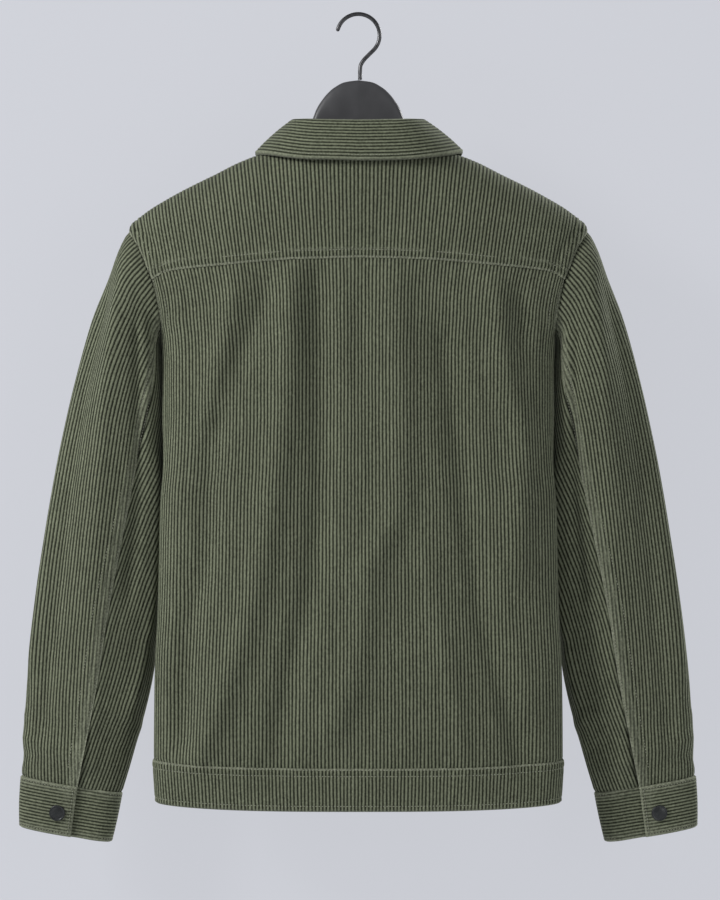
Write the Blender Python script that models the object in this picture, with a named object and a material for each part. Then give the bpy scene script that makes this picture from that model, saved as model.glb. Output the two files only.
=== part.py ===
"""Corduroy jacket hung on a coat hanger.

Frame: the origin is the inside top of the hanger's hook, where a rail or a peg
holds it. +Z is up, the jacket's front looks along -Y and its back along +Y, and
the wearer's left is +X. Tables are in millimetres; the meshes are in metres.

The body of the jacket is one rounded ring at every height (RINGS). Panels are
patches of that one surface, so neighbours share their seam lines. Each sleeve
is a tube that starts on the body's armhole and ends at its cuff.
"""
import bpy
import bmesh
import numpy as np

MM = 0.001

# ---- driving dimensions, millimetres -------------------------------------
CLOTH = 1.8            # one layer of wide-wale corduroy
BAND = 3.2             # two layers, turned and stitched: cuffs, waistband, collar
GAP = 0.3              # between pieces at a seam
HEM_TOP = 791.0        # drop of the seam where the waistband starts
HEM_BOTTOM = 836.0     # drop of the waistband's lower edge
HEM_RISE = 5.0         # how much higher the waistband hangs at the sides
OVERLAP = 15.0         # how far each front passes the centre line
ARMHOLE_TOP = 228.0    # drop of the shoulder tip
ARMHOLE_LOW = 335.0    # drop of the underarm
SNAP_RADIUS = 8.5
SNAP_RISE = 2.6
LEAF_CLOTH = 2.4       # the collar's leaf, its stand and the cuffs are pressed
STAND_CLOTH = 2.5      # thinner than the waistband
CUFF_CLOTH = 2.6
LEAF_BOW = 1.6         # how far the leaf bellies out between its fold and its edge
STAND_BASE = 74.5      # half width of the stand's foot inside the neckline
STAND_INSET = (0.945, 0.93, 1.0)    # its upper edge, as shares of the leaf's fold line
STAND_BELOW = 3.5      # how far its upper edge lies under the fold
STAND_TUCK = 2.0       # how far its foot stands above the neckline
CUFF_LAP = 97.0        # angle of the cuff's lap end, in line with the sleeve's back seam
CUFF_UNDER = 320.0     # angle gone round where the cuff starts to sink under its lap
CUFF_TUCK = 36.0       # and the angle it takes to do so
CUFF_HEIGHT = 50.0
SEAM_TRIM = 0.7        # degrees left free at each edge of a sleeve piece
UNDER_CLEAR = 0.2      # air between a lapped layer and the one above it
WIRE_RADIUS = 2.15
HOOK_RADIUS = 22.55    # of the wire's centre line
HOOK_DROP = HOOK_RADIUS - WIRE_RADIUS


def table(columns, rows):
    """A short table with named columns, as a dictionary of arrays."""
    values = np.array(rows, float)
    return {name: values[:, i] for i, name in enumerate(columns)}


# One row for each level of the body. `drop` is the depth below the hook, `half`
# the half width, `middle` the Y of the side line, `back` and `front` the Y of the
# centre back and the centre front, and the powers say how square each half is.
RINGS = table(
    ("drop", "half", "middle", "back", "front", "back_power", "front_power"), [
        (118.0, 22.0, 0.0, 36.0, -34.0, 2.0, 2.0),
        (141.5, 78.0, 0.0, 43.5, -41.0, 2.0, 2.0),
        (150.5, 113.0, 0.0, 46.0, -44.0, 2.0, 2.0),
        (169.6, 154.0, -2.0, 49.5, -49.0, 2.0, 2.0),
        (189.0, 193.0, -5.0, 52.0, -53.5, 2.1, 2.0),
        (208.0, 224.7, -7.0, 54.5, -57.0, 2.2, 2.1),
        (220.5, 239.0, -8.0, 56.0, -59.0, 2.3, 2.15),
        (228.0, 244.0, -8.0, 56.7, -60.0, 2.3, 2.15),
        (246.5, 246.0, -6.0, 58.0, -61.5, 2.28, 2.1),
        (265.0, 252.0, -4.0, 58.8, -62.4, 2.28, 2.0),
        (282.0, 255.0, -2.0, 59.3, -63.0, 2.3, 2.0),
        (295.0, 249.0, 0.0, 59.4, -63.3, 2.35, 2.0),
        (317.0, 224.0, 3.5, 59.2, -63.8, 2.6, 2.1),
        (328.0, 211.5, 5.0, 59.0, -64.0, 2.85, 2.15),
        (335.0, 207.5, 6.0, 58.9, -64.2, 2.95, 2.2),
        (345.0, 205.8, 7.0, 58.7, -64.4, 3.0, 2.2),
        (375.0, 204.2, 9.0, 58.3, -65.0, 3.0, 2.2),
        (424.0, 204.2, 11.0, 58.0, -66.0, 3.0, 2.2),
        (481.0, 206.4, 12.0, 58.2, -67.5, 3.0, 2.2),
        (513.0, 209.0, 12.0, 58.6, -68.5, 3.0, 2.2),
        (619.0, 211.6, 12.0, 60.3, -71.0, 3.0, 2.2),
        (704.0, 215.3, 12.0, 61.6, -72.0, 3.0, 2.2),
        (778.0, 216.0, 12.0, 62.0, -72.0, 3.0, 2.2),
        (810.0, 214.3, 12.0, 61.8, -71.7, 3.0, 2.2),
        (836.0, 212.5, 12.0, 61.2, -71.0, 3.0, 2.2),
    ])

# Where the armhole seam runs on the back and on the front of the body.
ARMHOLE = table(("drop", "back_x", "front_x"), [
    (228.0, 244.0, 244.0),
    (246.5, 231.5, 229.5),
    (265.0, 223.3, 219.0),
    (282.0, 216.3, 210.5),
    (294.6, 212.6, 206.5),
    (317.4, 208.4, 204.5),
    (328.4, 207.4, 206.0),
    (335.0, 207.5, 207.5),
])

# The seam between the yoke and the back panel, from the centre outwards.
YOKE_SEAM = table(("x", "drop"), [
    (0.0, 259.6), (70.0, 261.6), (140.0, 267.0), (200.0, 273.0), (216.3, 281.5)])

# Shoulder seam, and back and front necklines. `turn` is the signed root of the
# drop below the shoulder ridge: positive on the back, negative on the front.
NECK = table(("x", "back_turn", "front_turn"), [
    (0.0, 5.2, -8.9),
    (25.0, 5.0, -8.1),
    (50.0, 3.7, -6.3),
    (68.0, 2.2, -4.3),
    (80.0, 0.4, -2.6),
    (96.0, -2.6, -3.1),
    (112.0, -3.9, -3.9),
    (244.0, -3.9, -3.9),
])

# One row for each section of a sleeve. The outer and inner points are seen from
# behind; `middle` is the section's Y and `back` and `front` its reach in Y.
SLEEVE = table(
    ("outer_x", "outer_drop", "inner_x", "inner_drop", "middle", "back", "front"), [
        (252.5, 246.0, 209.5, 348.0, -6.0, 44.0, 43.0),
        (263.0, 275.0, 209.0, 369.0, -7.0, 47.0, 45.0),
        (276.5, 316.0, 207.0, 399.0, -9.0, 48.0, 46.0),
        (291.5, 367.0, 206.0, 437.0, -12.0, 46.0, 45.0),
        (312.0, 449.0, 206.5, 500.0, -17.0, 41.0, 41.0),
        (329.0, 534.0, 208.5, 566.0, -21.0, 36.0, 36.0),
        (343.0, 620.0, 212.5, 640.0, -23.0, 31.0, 31.0),
        (351.5, 690.0, 221.0, 708.0, -24.0, 27.0, 27.0),
        (357.0, 765.0, 240.0, 782.0, -24.0, 23.0, 23.0),
        (359.0, 808.0, 253.0, 826.0, -24.0, 19.0, 19.0),
    ])
SLEEVE_POWER = 2.2
CAP_SHARE = 0.06       # share of the length in which the cap takes its own direction

# The cuff's upper and lower edges, in the same columns.
CUFF = table(
    ("outer_x", "outer_drop", "inner_x", "inner_drop", "middle", "back", "front"), [
        (360.4, 810.0, 252.0, 828.0, -24.0, 21.0, 21.0),
        (362.0, 862.0, 263.5, 878.5, -24.0, 20.0, 20.0),
    ])

# Where the sleeve's two seams run round the tube, in degrees from its outer
# line, at a share of its length.
SLEEVE_SEAMS = table(("share", "back_angle", "front_angle"), [
    (0.0, 150.0, -150.0),
    (0.10, 141.0, -139.0),
    (0.25, 126.0, -125.0),
    (0.45, 110.0, -112.0),
    (0.70, 99.0, -102.0),
    (1.0, 97.0, -98.0),
])

# The collar leaf from the centre back to its front point.
LEAF = table(("turn", "fold_x", "fold_y", "fold_drop", "edge_x", "edge_y", "edge_drop"), [
    (0.0, 0.0, 46.0, 114.0, 0.0, 57.0, 158.0),
    (30.0, 36.0, 43.0, 113.0, 50.0, 55.0, 156.5),
    (60.0, 60.0, 28.0, 110.5, 91.5, 39.5, 150.0),
    (90.0, 68.0, 4.0, 109.0, 111.0, 3.0, 144.8),
    (115.0, 63.5, -19.0, 116.0, 105.5, -34.0, 155.5),
    (140.0, 46.0, -41.0, 136.0, 82.0, -60.0, 190.0),
    (160.0, 25.0, -53.0, 156.0, 62.0, -69.0, 221.0),
    (174.0, 6.0, -57.0, 168.0, 46.0, -74.0, 245.0),
])

# The hanger's body in front view, from the centre outwards: its upper edge, its
# lower edge and half its thickness.
HANGER = table(("x", "top", "bottom", "half_thick"), [
    (0.0, 68.0, 152.0, 7.5),
    (14.0, 70.0, 151.5, 7.5),
    (26.0, 76.2, 151.0, 7.3),
    (33.5, 83.0, 150.5, 7.0),
    (39.0, 90.0, 150.5, 7.0),
    (44.0, 98.0, 151.0, 7.0),
    (48.0, 108.0, 152.0, 7.0),
    (54.0, 125.0, 153.5, 7.0),
    (62.0, 142.0, 156.5, 7.0),
    (72.0, 147.5, 161.0, 7.0),
    (84.0, 149.0, 165.0, 7.0),
    (113.0, 154.5, 178.0, 7.5),
    (154.0, 173.5, 195.0, 8.5),
    (193.0, 193.0, 212.0, 9.5),
    (214.0, 205.0, 220.0, 9.5),
])

FRONT_SNAP_DROPS = (232.0, 345.0, 458.0, 571.0, 684.0)
BAND_SNAP_DROP = 813.0
CUFF_SNAP_ANGLE = 81.0
CUFF_SNAP_LEVEL = 0.54
SNAP_STAND = 0.35      # how far a cuff's snap stands off its cloth
WIRE_STEM = ((-1.8, -67.6), (-1.8, -60.0), (-2.2, -53.5), (-5.2, -47.5), (-11.0, -41.2))
HOOK_START, HOOK_END = 222.0, 11.0    # angles of the hook's bend, from its foot to its tip


# ---- curves through the tables -------------------------------------------
def through(knots, values, at):
    """A smooth curve through a table's values, which never overshoots them."""
    at = np.clip(np.asarray(at, float), knots[0], knots[-1])
    run = np.diff(knots)
    rise = np.diff(values) / run
    before, after = rise[:-1], rise[1:]
    same_way = before * after > 0.0
    total = np.where(same_way, before + after, 1.0)
    inner = np.where(same_way, 2.0 * before * after / total, 0.0)
    slope = np.concatenate([rise[:1], inner, rise[-1:]])
    i = np.clip(np.searchsorted(knots, at) - 1, 0, len(run) - 1)
    t = (at - knots[i]) / run[i]
    return (values[i] * (1 + 2 * t) * (1 - t) ** 2
            + values[i + 1] * t * t * (3 - 2 * t)
            + slope[i] * run[i] * t * (1 - t) ** 2
            - slope[i + 1] * run[i] * t * t * (1 - t))


def ring(column, drop):
    """One column of the body's rings at any drop."""
    return through(RINGS["drop"], RINGS[column], drop)


def ridge_drop(x):
    """Drop of the shoulder ridge, where the body's rings come to an end."""
    above = RINGS["drop"] <= ARMHOLE_TOP
    return through(RINGS["half"][above], RINGS["drop"][above], np.abs(x))


def ramp(value):
    """0 up to 1 with level ends."""
    t = np.clip(value, 0.0, 1.0)
    return t * t * (3.0 - 2.0 * t)


# ---- the body's surface ---------------------------------------------------
def body_point(x, drop, back):
    """A point of the body: its ring is |x/half|^p + |y/reach|^p = 1."""
    x, drop = np.broadcast_arrays(np.asarray(x, float), np.asarray(drop, float))
    middle = ring("middle", drop)
    reach = np.where(back, ring("back", drop), ring("front", drop)) - middle
    power = np.where(back, ring("back_power", drop), ring("front_power", drop))
    share = np.clip(np.abs(x) / ring("half", drop), 0.0, 1.0)
    y = middle + reach * (1.0 - share ** power) ** (1.0 / power)
    return np.stack([x, y, -drop], axis=-1)


def body_fill(point):
    """1 on the body's surface, less inside it and more outside."""
    x, y, drop = point[..., 0], point[..., 1], -point[..., 2]
    across = y - ring("middle", drop)
    back = across > 0.0
    far = np.where(back, ring("back", drop), ring("front", drop))
    reach = np.abs(far - ring("middle", drop))
    power = np.where(back, ring("back_power", drop), ring("front_power", drop))
    return np.abs(x / ring("half", drop)) ** power + np.abs(across / reach) ** power


def body_outward(point, step=0.05):
    """Unit direction in which the body's fill grows fastest."""
    grown = [body_fill(point + step * axis) - body_fill(point - step * axis)
             for axis in np.eye(3)]
    away = np.stack(grown, axis=-1)
    return away / np.linalg.norm(away, axis=-1, keepdims=True)


def armhole_drop(angle):
    """The armhole seam by angle: 0 at the shoulder tip, 180 at the underarm."""
    middle = 0.5 * (ARMHOLE_TOP + ARMHOLE_LOW)
    return middle - 0.5 * (ARMHOLE_LOW - ARMHOLE_TOP) * np.cos(np.radians(angle))


def armhole_point(angle):
    """The armhole seam on the body: positive angles on the back."""
    angle = np.asarray(angle, float)
    drop = armhole_drop(angle)
    back = angle >= 0.0
    x = np.where(back, through(ARMHOLE["drop"], ARMHOLE["back_x"], drop),
                 through(ARMHOLE["drop"], ARMHOLE["front_x"], drop))
    return body_point(x, drop, back)


def armhole_turn(angle):
    """The same seam as a signed root of its drop below the shoulder ridge."""
    point = armhole_point(angle)
    below = np.maximum(-point[..., 2] - ridge_drop(point[..., 0]), 0.0)
    return np.where(np.asarray(angle) >= 0.0, 1.0, -1.0) * np.sqrt(below)


# ---- solids ---------------------------------------------------------------
def material(name, colour, roughness, metallic=0.0):
    """A plain finish in one colour."""
    finish = bpy.data.materials.new(name)
    finish.use_nodes = True
    shader = finish.node_tree.nodes["Principled BSDF"]
    shader.inputs["Base Color"].default_value = (*colour, 1.0)
    shader.inputs["Roughness"].default_value = roughness
    shader.inputs["Metallic"].default_value = metallic
    return finish


def solid(name, points, faces, finish, smooth_angle=40.0):
    """One closed object from points in millimetres."""
    mesh = bpy.data.meshes.new(name)
    mesh.from_pydata((points * MM).tolist(), [], faces)
    work = bmesh.new()
    work.from_mesh(mesh)
    bmesh.ops.triangulate(work, faces=work.faces)
    if work.calc_volume(signed=True) < 0.0:
        bmesh.ops.reverse_faces(work, faces=work.faces)
    work.to_mesh(mesh)
    work.free()
    mesh.shade_smooth()
    mesh.set_sharp_from_angle(angle=np.radians(smooth_angle))
    piece = bpy.data.objects.new(name, mesh)
    piece.data.materials.append(finish)
    bpy.context.collection.objects.link(piece)
    return piece


def wall(name, outer, outward, thickness, finish):
    """A cloth wall: a grid of points, the same grid moved inwards, and a rim."""
    rows, columns = outer.shape[:2]
    inner = outer - thickness * outward
    points = np.concatenate([outer.reshape(-1, 3), inner.reshape(-1, 3)])
    index = np.arange(rows * columns).reshape(rows, columns)
    faces = []
    for r in range(rows - 1):
        for c in range(columns - 1):
            quad = [index[r, c], index[r, c + 1], index[r + 1, c + 1], index[r + 1, c]]
            faces.append([int(i) for i in quad])
            faces.append([int(i) + rows * columns for i in reversed(quad)])
    around = np.concatenate([index[0, :], index[1:, -1], index[-1, -2::-1], index[-2:0:-1, 0]])
    following = np.roll(around, -1)
    for here, there in zip(around.tolist(), following.tolist()):
        under = rows * columns
        faces.append([there, here, here + under, there + under])
    return solid(name, points, faces, finish)


def tube(name, sections, finish):
    """A closed skin over rings of points, with flat ends."""
    count, sides = sections.shape[:2]
    index = np.arange(count * sides).reshape(count, sides)
    faces = [index[0, ::-1].tolist(), index[-1].tolist()]
    for k in range(count - 1):
        for j in range(sides):
            after = (j + 1) % sides
            faces.append([int(index[k, j]), int(index[k, after]),
                          int(index[k + 1, after]), int(index[k + 1, j])])
    return solid(name, sections.reshape(-1, 3), faces, finish)


# ---- body panels ----------------------------------------------------------
def spread(count, bias=1.15):
    """Shares of the half width from 0 to 1, closer together near the side."""
    angle = np.linspace(0.0, 0.5 * np.pi, count)
    return np.sin(angle) ** bias


def both_sides(shares):
    """The same shares mirrored through the centre."""
    return np.concatenate([-shares[:0:-1], shares])


def yoke(finish):
    """Back yoke: from its seam up over the shoulder ridge to the shoulder seam."""
    angles = np.arange(90.0, -31.0, -15.0)
    edge = armhole_point(angles)[:, 0]
    turns = armhole_turn(angles)
    shares = both_sides(spread(13))
    risen = (turns - turns[0]) / (turns[-1] - turns[0])
    trim = 1.0 - GAP / edge[:, None]
    x = shares[None, :] * edge[:, None] * trim
    low_x, top_x = np.abs(x[0]), np.abs(x[-1])
    low = np.sqrt(through(YOKE_SEAM["x"], YOKE_SEAM["drop"], low_x) - GAP - ridge_drop(low_x))
    top = through(NECK["x"], NECK["back_turn"], top_x)
    turn = low + (top - low) * risen[:, None]
    drop = ridge_drop(x) + turn ** 2
    outer = body_point(x, drop, turn >= 0.0)
    wall("back_yoke", outer, body_outward(outer), CLOTH, finish)


def hem_rise(x):
    """How much higher the hem hangs here than at the centre."""
    return HEM_RISE * (np.abs(x) / RINGS["half"][-1]) ** 3


def side_rows(angles):
    """Edge x, drop and seam gap down the armhole, then down the side seam."""
    hole = armhole_point(angles)
    lower = np.linspace(ARMHOLE_LOW, HEM_TOP - HEM_RISE - GAP, 7)[1:]
    edge = np.concatenate([hole[:, 0], ring("half", lower)])
    level = np.concatenate([-hole[:, 2], lower])
    gap = np.concatenate([np.full(len(angles), GAP), np.zeros(len(lower))])
    return edge - gap, level, (level - level[0]) / (level[-1] - level[0])


def back_panel(finish):
    """Back panel: from the yoke seam to the waistband."""
    edge, level, fallen = side_rows(np.arange(90.0, 180.1, 15.0))
    x = both_sides(spread(13))[None, :] * edge[:, None]
    top = through(YOKE_SEAM["x"], YOKE_SEAM["drop"], np.abs(x[0]))
    drop = top + (HEM_TOP - GAP - hem_rise(x) - top) * fallen[:, None]
    outer = body_point(x, drop, True)
    outer[..., 1] += 0.5 * GAP
    wall("back_panel", outer, body_outward(outer), CLOTH, finish)


def front_panel(name, side, finish):
    """A front: shoulder seam and neckline down to the waistband."""
    edge, level, fallen = side_rows(-np.arange(30.0, 180.1, 15.0))
    x = -OVERLAP + (edge[:, None] + OVERLAP) * spread(16, 1.3)[None, :]
    turn = through(NECK["x"], NECK["front_turn"], np.abs(x[0])) - 0.05
    top = ridge_drop(x[0]) + turn ** 2
    drop = top + (HEM_TOP - GAP - hem_rise(x) - top) * fallen[:, None]
    outer = body_point(x, drop, False)
    outer[..., 1] -= 0.5 * GAP
    outward = body_outward(outer)
    if side < 0:
        sunk = ramp((3.0 * OVERLAP - x) / OVERLAP) * (CLOTH + GAP + UNDER_CLEAR)
        outer = outer - sunk[..., None] * outward
    mirror = np.array([side, 1.0, 1.0])
    wall(name, outer * mirror, outward * mirror, CLOTH, finish)


def waistband(finish):
    """Waistband: once round the hem, its left end lapped over its right end."""
    back = both_sides(spread(12))
    front = spread(13, 1.3)
    drops = np.array([HEM_TOP, 0.5 * (HEM_TOP + HEM_BOTTOM), HEM_BOTTOM])
    half = ring("half", drops)[:, None]
    left = -OVERLAP + (half + OVERLAP) * front[None, :]
    middle = back[None, ::-1] * half
    right = -left[:, ::-1]
    x = np.concatenate([left[:, :-1], middle[:, :-1], right], axis=1)
    is_back = np.concatenate([np.zeros(left.shape[1] - 1, bool),
                              np.ones(middle.shape[1] - 1, bool),
                              np.zeros(right.shape[1], bool)])
    drop = drops[:, None] - hem_rise(x)
    outer = body_point(x, drop, is_back[None, :])
    outward = body_outward(outer)
    stand_off = (BAND - CLOTH) * 0.5
    under = ramp((x + 3.0 * OVERLAP) / OVERLAP) * ~is_back
    under[:, :left.shape[1] - 1] = 0.0
    outer = outer + (stand_off - under * (BAND + GAP + UNDER_CLEAR))[..., None] * outward
    wall("waistband", outer, outward, BAND, finish)


# ---- sleeves --------------------------------------------------------------
def section(rows, i, angle):
    """A rounded sleeve section between its outer and inner points."""
    turn = np.radians(angle)
    across = np.sign(np.cos(turn)) * np.abs(np.cos(turn)) ** (2.0 / SLEEVE_POWER)
    deep = np.sign(np.sin(turn)) * np.abs(np.sin(turn)) ** (2.0 / SLEEVE_POWER)
    outer = np.array([rows["outer_x"][i], -rows["outer_drop"][i]])
    inner = np.array([rows["inner_x"][i], -rows["inner_drop"][i]])
    flat = 0.5 * (outer + inner) + 0.5 * (outer - inner) * across[..., None]
    reach = np.where(deep >= 0.0, rows["back"][i], rows["front"][i])
    return np.stack([flat[..., 0], rows["middle"][i] + reach * deep, flat[..., 1]], axis=-1)


def sleeve_sections(angle):
    """The armhole seam, then every row of SLEEVE, at the same angles."""
    rows = [armhole_point(angle)]
    rows += [section(SLEEVE, i, angle) for i in range(len(SLEEVE["middle"]))]
    return np.stack(rows)


def sleeve_lengths():
    """How far down the sleeve each section lies, midway between its edges."""
    marks = sleeve_sections(np.array([0.0, 180.0])).mean(axis=1)
    return np.concatenate([[0.0], np.cumsum(np.linalg.norm(np.diff(marks, axis=0), axis=-1))])


def sleeve_point(share, angle):
    """The sleeve's tube at a share of its length, at an angle round it."""
    share, angle = np.broadcast_arrays(np.asarray(share, float), np.asarray(angle, float))
    angle = (angle + 180.0) % 360.0 - 180.0
    knots = sleeve_lengths()
    rings = sleeve_sections(angle)
    at = share * knots[-1]
    i = np.clip(np.searchsorted(knots, at) - 1, 0, len(knots) - 2)
    run = np.diff(knots)
    rise = np.diff(rings, axis=0) / run.reshape(-1, *([1] * (rings.ndim - 1)))
    slope = np.concatenate([rise[:1], 0.5 * (rise[:-1] + rise[1:]), rise[-1:]])

    def pick(values, which):
        return np.take_along_axis(values, which[None, ..., None], axis=0)[0]

    t = ((at - knots[i]) / run[i])[..., None]
    span = run[i][..., None]
    return (pick(rings, i) * (1 + 2 * t) * (1 - t) ** 2
            + pick(rings, i + 1) * t * t * (3 - 2 * t)
            + pick(slope, i) * span * t * (1 - t) ** 2
            - pick(slope, i + 1) * span * t * t * (1 - t))


def sleeve_outward(share, angle):
    """The sleeve's outward direction; on the shoulder it starts as the body's own."""
    share, angle = np.broadcast_arrays(np.asarray(share, float), np.asarray(angle, float))
    ahead = np.minimum(share + 0.002, 1.0)
    along = sleeve_point(ahead, angle) - sleeve_point(ahead - 0.004, angle)
    around = sleeve_point(share, angle + 0.5) - sleeve_point(share, angle - 0.5)
    out = np.cross(along, around)
    out /= np.linalg.norm(out, axis=-1, keepdims=True)
    from_top = np.abs((angle + 180.0) % 360.0 - 180.0)
    seam = body_outward(armhole_point(np.where(angle > 180.0, angle - 360.0, angle)))
    own = np.maximum(ramp(share / CAP_SHARE), ramp((from_top - 60.0) / 40.0))[..., None]
    mixed = seam * (1.0 - own) + out * own
    return mixed / np.linalg.norm(mixed, axis=-1, keepdims=True)


def sleeve_piece(name, start, stop, count, side, finish):
    """Outer or under sleeve: the tube between its two seams."""
    first = 0.8 / sleeve_lengths()[-1]
    shares = np.concatenate([[first, 0.03, 0.07, 0.12], np.linspace(0.19, 1.0, 9)])
    shares = shares[:, None]
    begin = through(SLEEVE_SEAMS["share"], SLEEVE_SEAMS[start], shares)
    end = through(SLEEVE_SEAMS["share"], SLEEVE_SEAMS[stop], shares)
    end = np.where(end < begin, end + 360.0, end)
    angle = begin + SEAM_TRIM + (end - begin - 2.0 * SEAM_TRIM) * np.linspace(0.0, 1.0, count)[None, :]
    shares = np.broadcast_to(shares, angle.shape)
    mirror = np.array([side, 1.0, 1.0])
    outer = sleeve_point(shares, angle) * mirror
    wall(name, outer, sleeve_outward(shares, angle) * mirror, CLOTH, finish)


def cuff_point(level, angle):
    """The cuff's tube: level 0 at its upper edge and 1 at its lower edge."""
    upper = section(CUFF, 0, angle)
    lower = section(CUFF, 1, angle)
    return upper + (lower - upper) * np.asarray(level)[..., None]


def cuff_outward(level, angle):
    """Outward direction of the cuff's tube."""
    along = cuff_point(level + 0.01, angle) - cuff_point(level - 0.01, angle)
    around = cuff_point(level, angle + 0.5) - cuff_point(level, angle - 0.5)
    out = np.cross(along, around)
    return out / np.linalg.norm(out, axis=-1, keepdims=True)


def cuff(name, side, finish):
    """Cuff: once round the wrist and on under its own lap end."""
    travel = np.concatenate([np.arange(0.0, 316.0, 15.0), np.arange(322.0, 402.0, 8.0)])
    angle = (CUFF_LAP - travel)[None, :]
    level = np.array([CUFF_CLOTH / CUFF_HEIGHT, 0.5, 1.0])[:, None]
    level, angle = np.broadcast_arrays(level, angle)
    under = ramp((travel - CUFF_UNDER) / CUFF_TUCK) * (BAND + 2.0 * GAP)
    out = cuff_outward(level, angle)
    mirror = np.array([side, 1.0, 1.0])
    outer = (cuff_point(level, angle) - under[None, :, None] * out) * mirror
    wall(name, outer, out * mirror, CUFF_CLOTH, finish)


# ---- collar ---------------------------------------------------------------
def leaf_lines(turn):
    """The leaf's fold line and free edge at a turn from the centre back."""
    side = np.sign(turn)
    side = np.where(side == 0.0, 1.0, side)
    away = np.abs(turn)

    def line(part):
        return np.stack([side * through(LEAF["turn"], LEAF[part + "_x"], away),
                         through(LEAF["turn"], LEAF[part + "_y"], away),
                         -through(LEAF["turn"], LEAF[part + "_drop"], away)], axis=-1)
    return line("fold"), line("edge")


def grid_outward(points):
    """Unit normals of a grid, from its own neighbouring points."""
    down = np.gradient(points, axis=0)
    across = np.gradient(points, axis=1)
    out = np.cross(across, down)
    return out / np.linalg.norm(out, axis=-1, keepdims=True)


def collar_leaf(finish):
    """Collar leaf: from the fold down and out to its free edge."""
    turn = np.linspace(-174.0, 174.0, 37)
    fold, edge = leaf_lines(turn)
    share = np.linspace(0.0, 1.0, 4)[:, None, None]
    bow = LEAF_BOW * np.sin(np.pi * share)
    outer = fold + (edge - fold) * share
    out = grid_outward(outer)
    out *= np.sign(np.sum(out * (outer - outer.mean(axis=(0, 1))), axis=-1).mean())
    wall("collar_leaf", outer + bow * out, out, LEAF_CLOTH, finish)


def collar_stand(finish):
    """Collar stand: from inside the neckline up to just under the fold."""
    turn = np.linspace(-172.0, 172.0, 37)
    fold, _ = leaf_lines(turn)
    top = fold * STAND_INSET - np.array([0.0, 0.0, STAND_BELOW])
    x = STAND_BASE * np.sin(np.radians(turn))
    back = np.abs(turn) <= 90.0
    low_turn = np.where(back, through(NECK["x"], NECK["back_turn"], np.abs(x)),
                        through(NECK["x"], NECK["front_turn"], np.abs(x)))
    low = body_point(x, ridge_drop(x) + low_turn ** 2 - STAND_TUCK, back)
    share = np.linspace(0.0, 1.0, 3)[:, None, None]
    outer = top + (low - top) * share
    out = grid_outward(outer)
    out *= np.sign(np.sum(out * (outer - outer.mean(axis=(0, 1))), axis=-1).mean())
    wall("collar_stand", outer, out, STAND_CLOTH, finish)


# ---- snaps ----------------------------------------------------------------
def snap(name, base, out, finish, sides=14):
    """A domed snap cap, turned about the direction it faces."""
    profile = ((0.0, 0.30), (SNAP_RADIUS - 0.5, 0.30), (SNAP_RADIUS, 0.8),
               (SNAP_RADIUS, 1.5), (SNAP_RADIUS - 1.0, 2.1), (4.5, 2.5), (0.0, SNAP_RISE))
    out = out / np.linalg.norm(out)
    side = np.cross(out, (0.0, 0.0, 1.0))
    side /= np.linalg.norm(side)
    up = np.cross(side, out)
    angle = np.linspace(0.0, 2.0 * np.pi, sides, endpoint=False)
    circle = np.cos(angle)[:, None] * side + np.sin(angle)[:, None] * up
    points = [base + profile[0][1] * out, base + profile[-1][1] * out]
    for radius, rise in profile[1:-1]:
        points.extend(base + radius * circle + rise * out)
    faces = []
    rings = len(profile) - 2
    for j in range(sides):
        after = (j + 1) % sides
        faces.append([0, 2 + after, 2 + j])
        last = 2 + (rings - 1) * sides
        faces.append([1, last + j, last + after])
        for k in range(rings - 1):
            here, there = 2 + k * sides, 2 + (k + 1) * sides
            faces.append([here + j, here + after, there + after, there + j])
    solid(name, np.array(points), faces, finish)


def snaps(finish):
    """Five on the front, one on the waistband and one on each cuff."""
    for i, drop in enumerate(FRONT_SNAP_DROPS):
        base = body_point(0.0, drop, False)
        snap(f"front_snap_{i + 1}", base, body_outward(base), finish)
    base = body_point(0.0, BAND_SNAP_DROP, False)
    out = body_outward(base)
    snap("waistband_snap", base + (BAND - CLOTH) * 0.5 * out, out, finish)
    level, angle = np.array(CUFF_SNAP_LEVEL), np.array(CUFF_SNAP_ANGLE)
    base, out = cuff_point(level, angle), cuff_outward(level, angle)
    for name, side in (("cuff_snap_left", 1.0), ("cuff_snap_right", -1.0)):
        mirror = np.array([side, 1.0, 1.0])
        snap(name, (base + SNAP_STAND * out) * mirror, out * mirror, finish)


# ---- hanger ---------------------------------------------------------------
def hanger_body(finish):
    """Hanger: rounded sections across X, from one arm's end to the other's."""
    x = np.concatenate([-HANGER["x"][:0:-1], HANGER["x"]])
    away = np.abs(x)
    angle = np.linspace(0.0, 2.0 * np.pi, 12, endpoint=False)
    rows = []
    for at, a in zip(x, away):
        top, bottom = (np.interp(a, HANGER["x"], HANGER[part]) for part in ("top", "bottom"))
        thick = np.interp(a, HANGER["x"], HANGER["half_thick"])
        centre, half = 0.5 * (top + bottom), 0.5 * (bottom - top)
        middle = ring("middle", ridge_drop(a)) * ramp((a - 60.0) / 40.0)
        squared = np.sign(np.cos(angle)) * np.abs(np.cos(angle)) ** 0.7
        rows.append(np.stack([np.full(angle.shape, at),
                              middle + thick * np.sin(angle),
                              -(centre + half * squared)], axis=-1))
    for end, sign in ((0, -1.0), (-1, 1.0)):
        centre = rows[end].mean(axis=0)
        cap = centre + (rows[end] - centre) * 0.55 + np.array([sign * 3.0, 0.0, -1.5])
        rows.insert(0 if end == 0 else len(rows), cap)
    tube("hanger_body", np.array(rows), finish)


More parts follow.
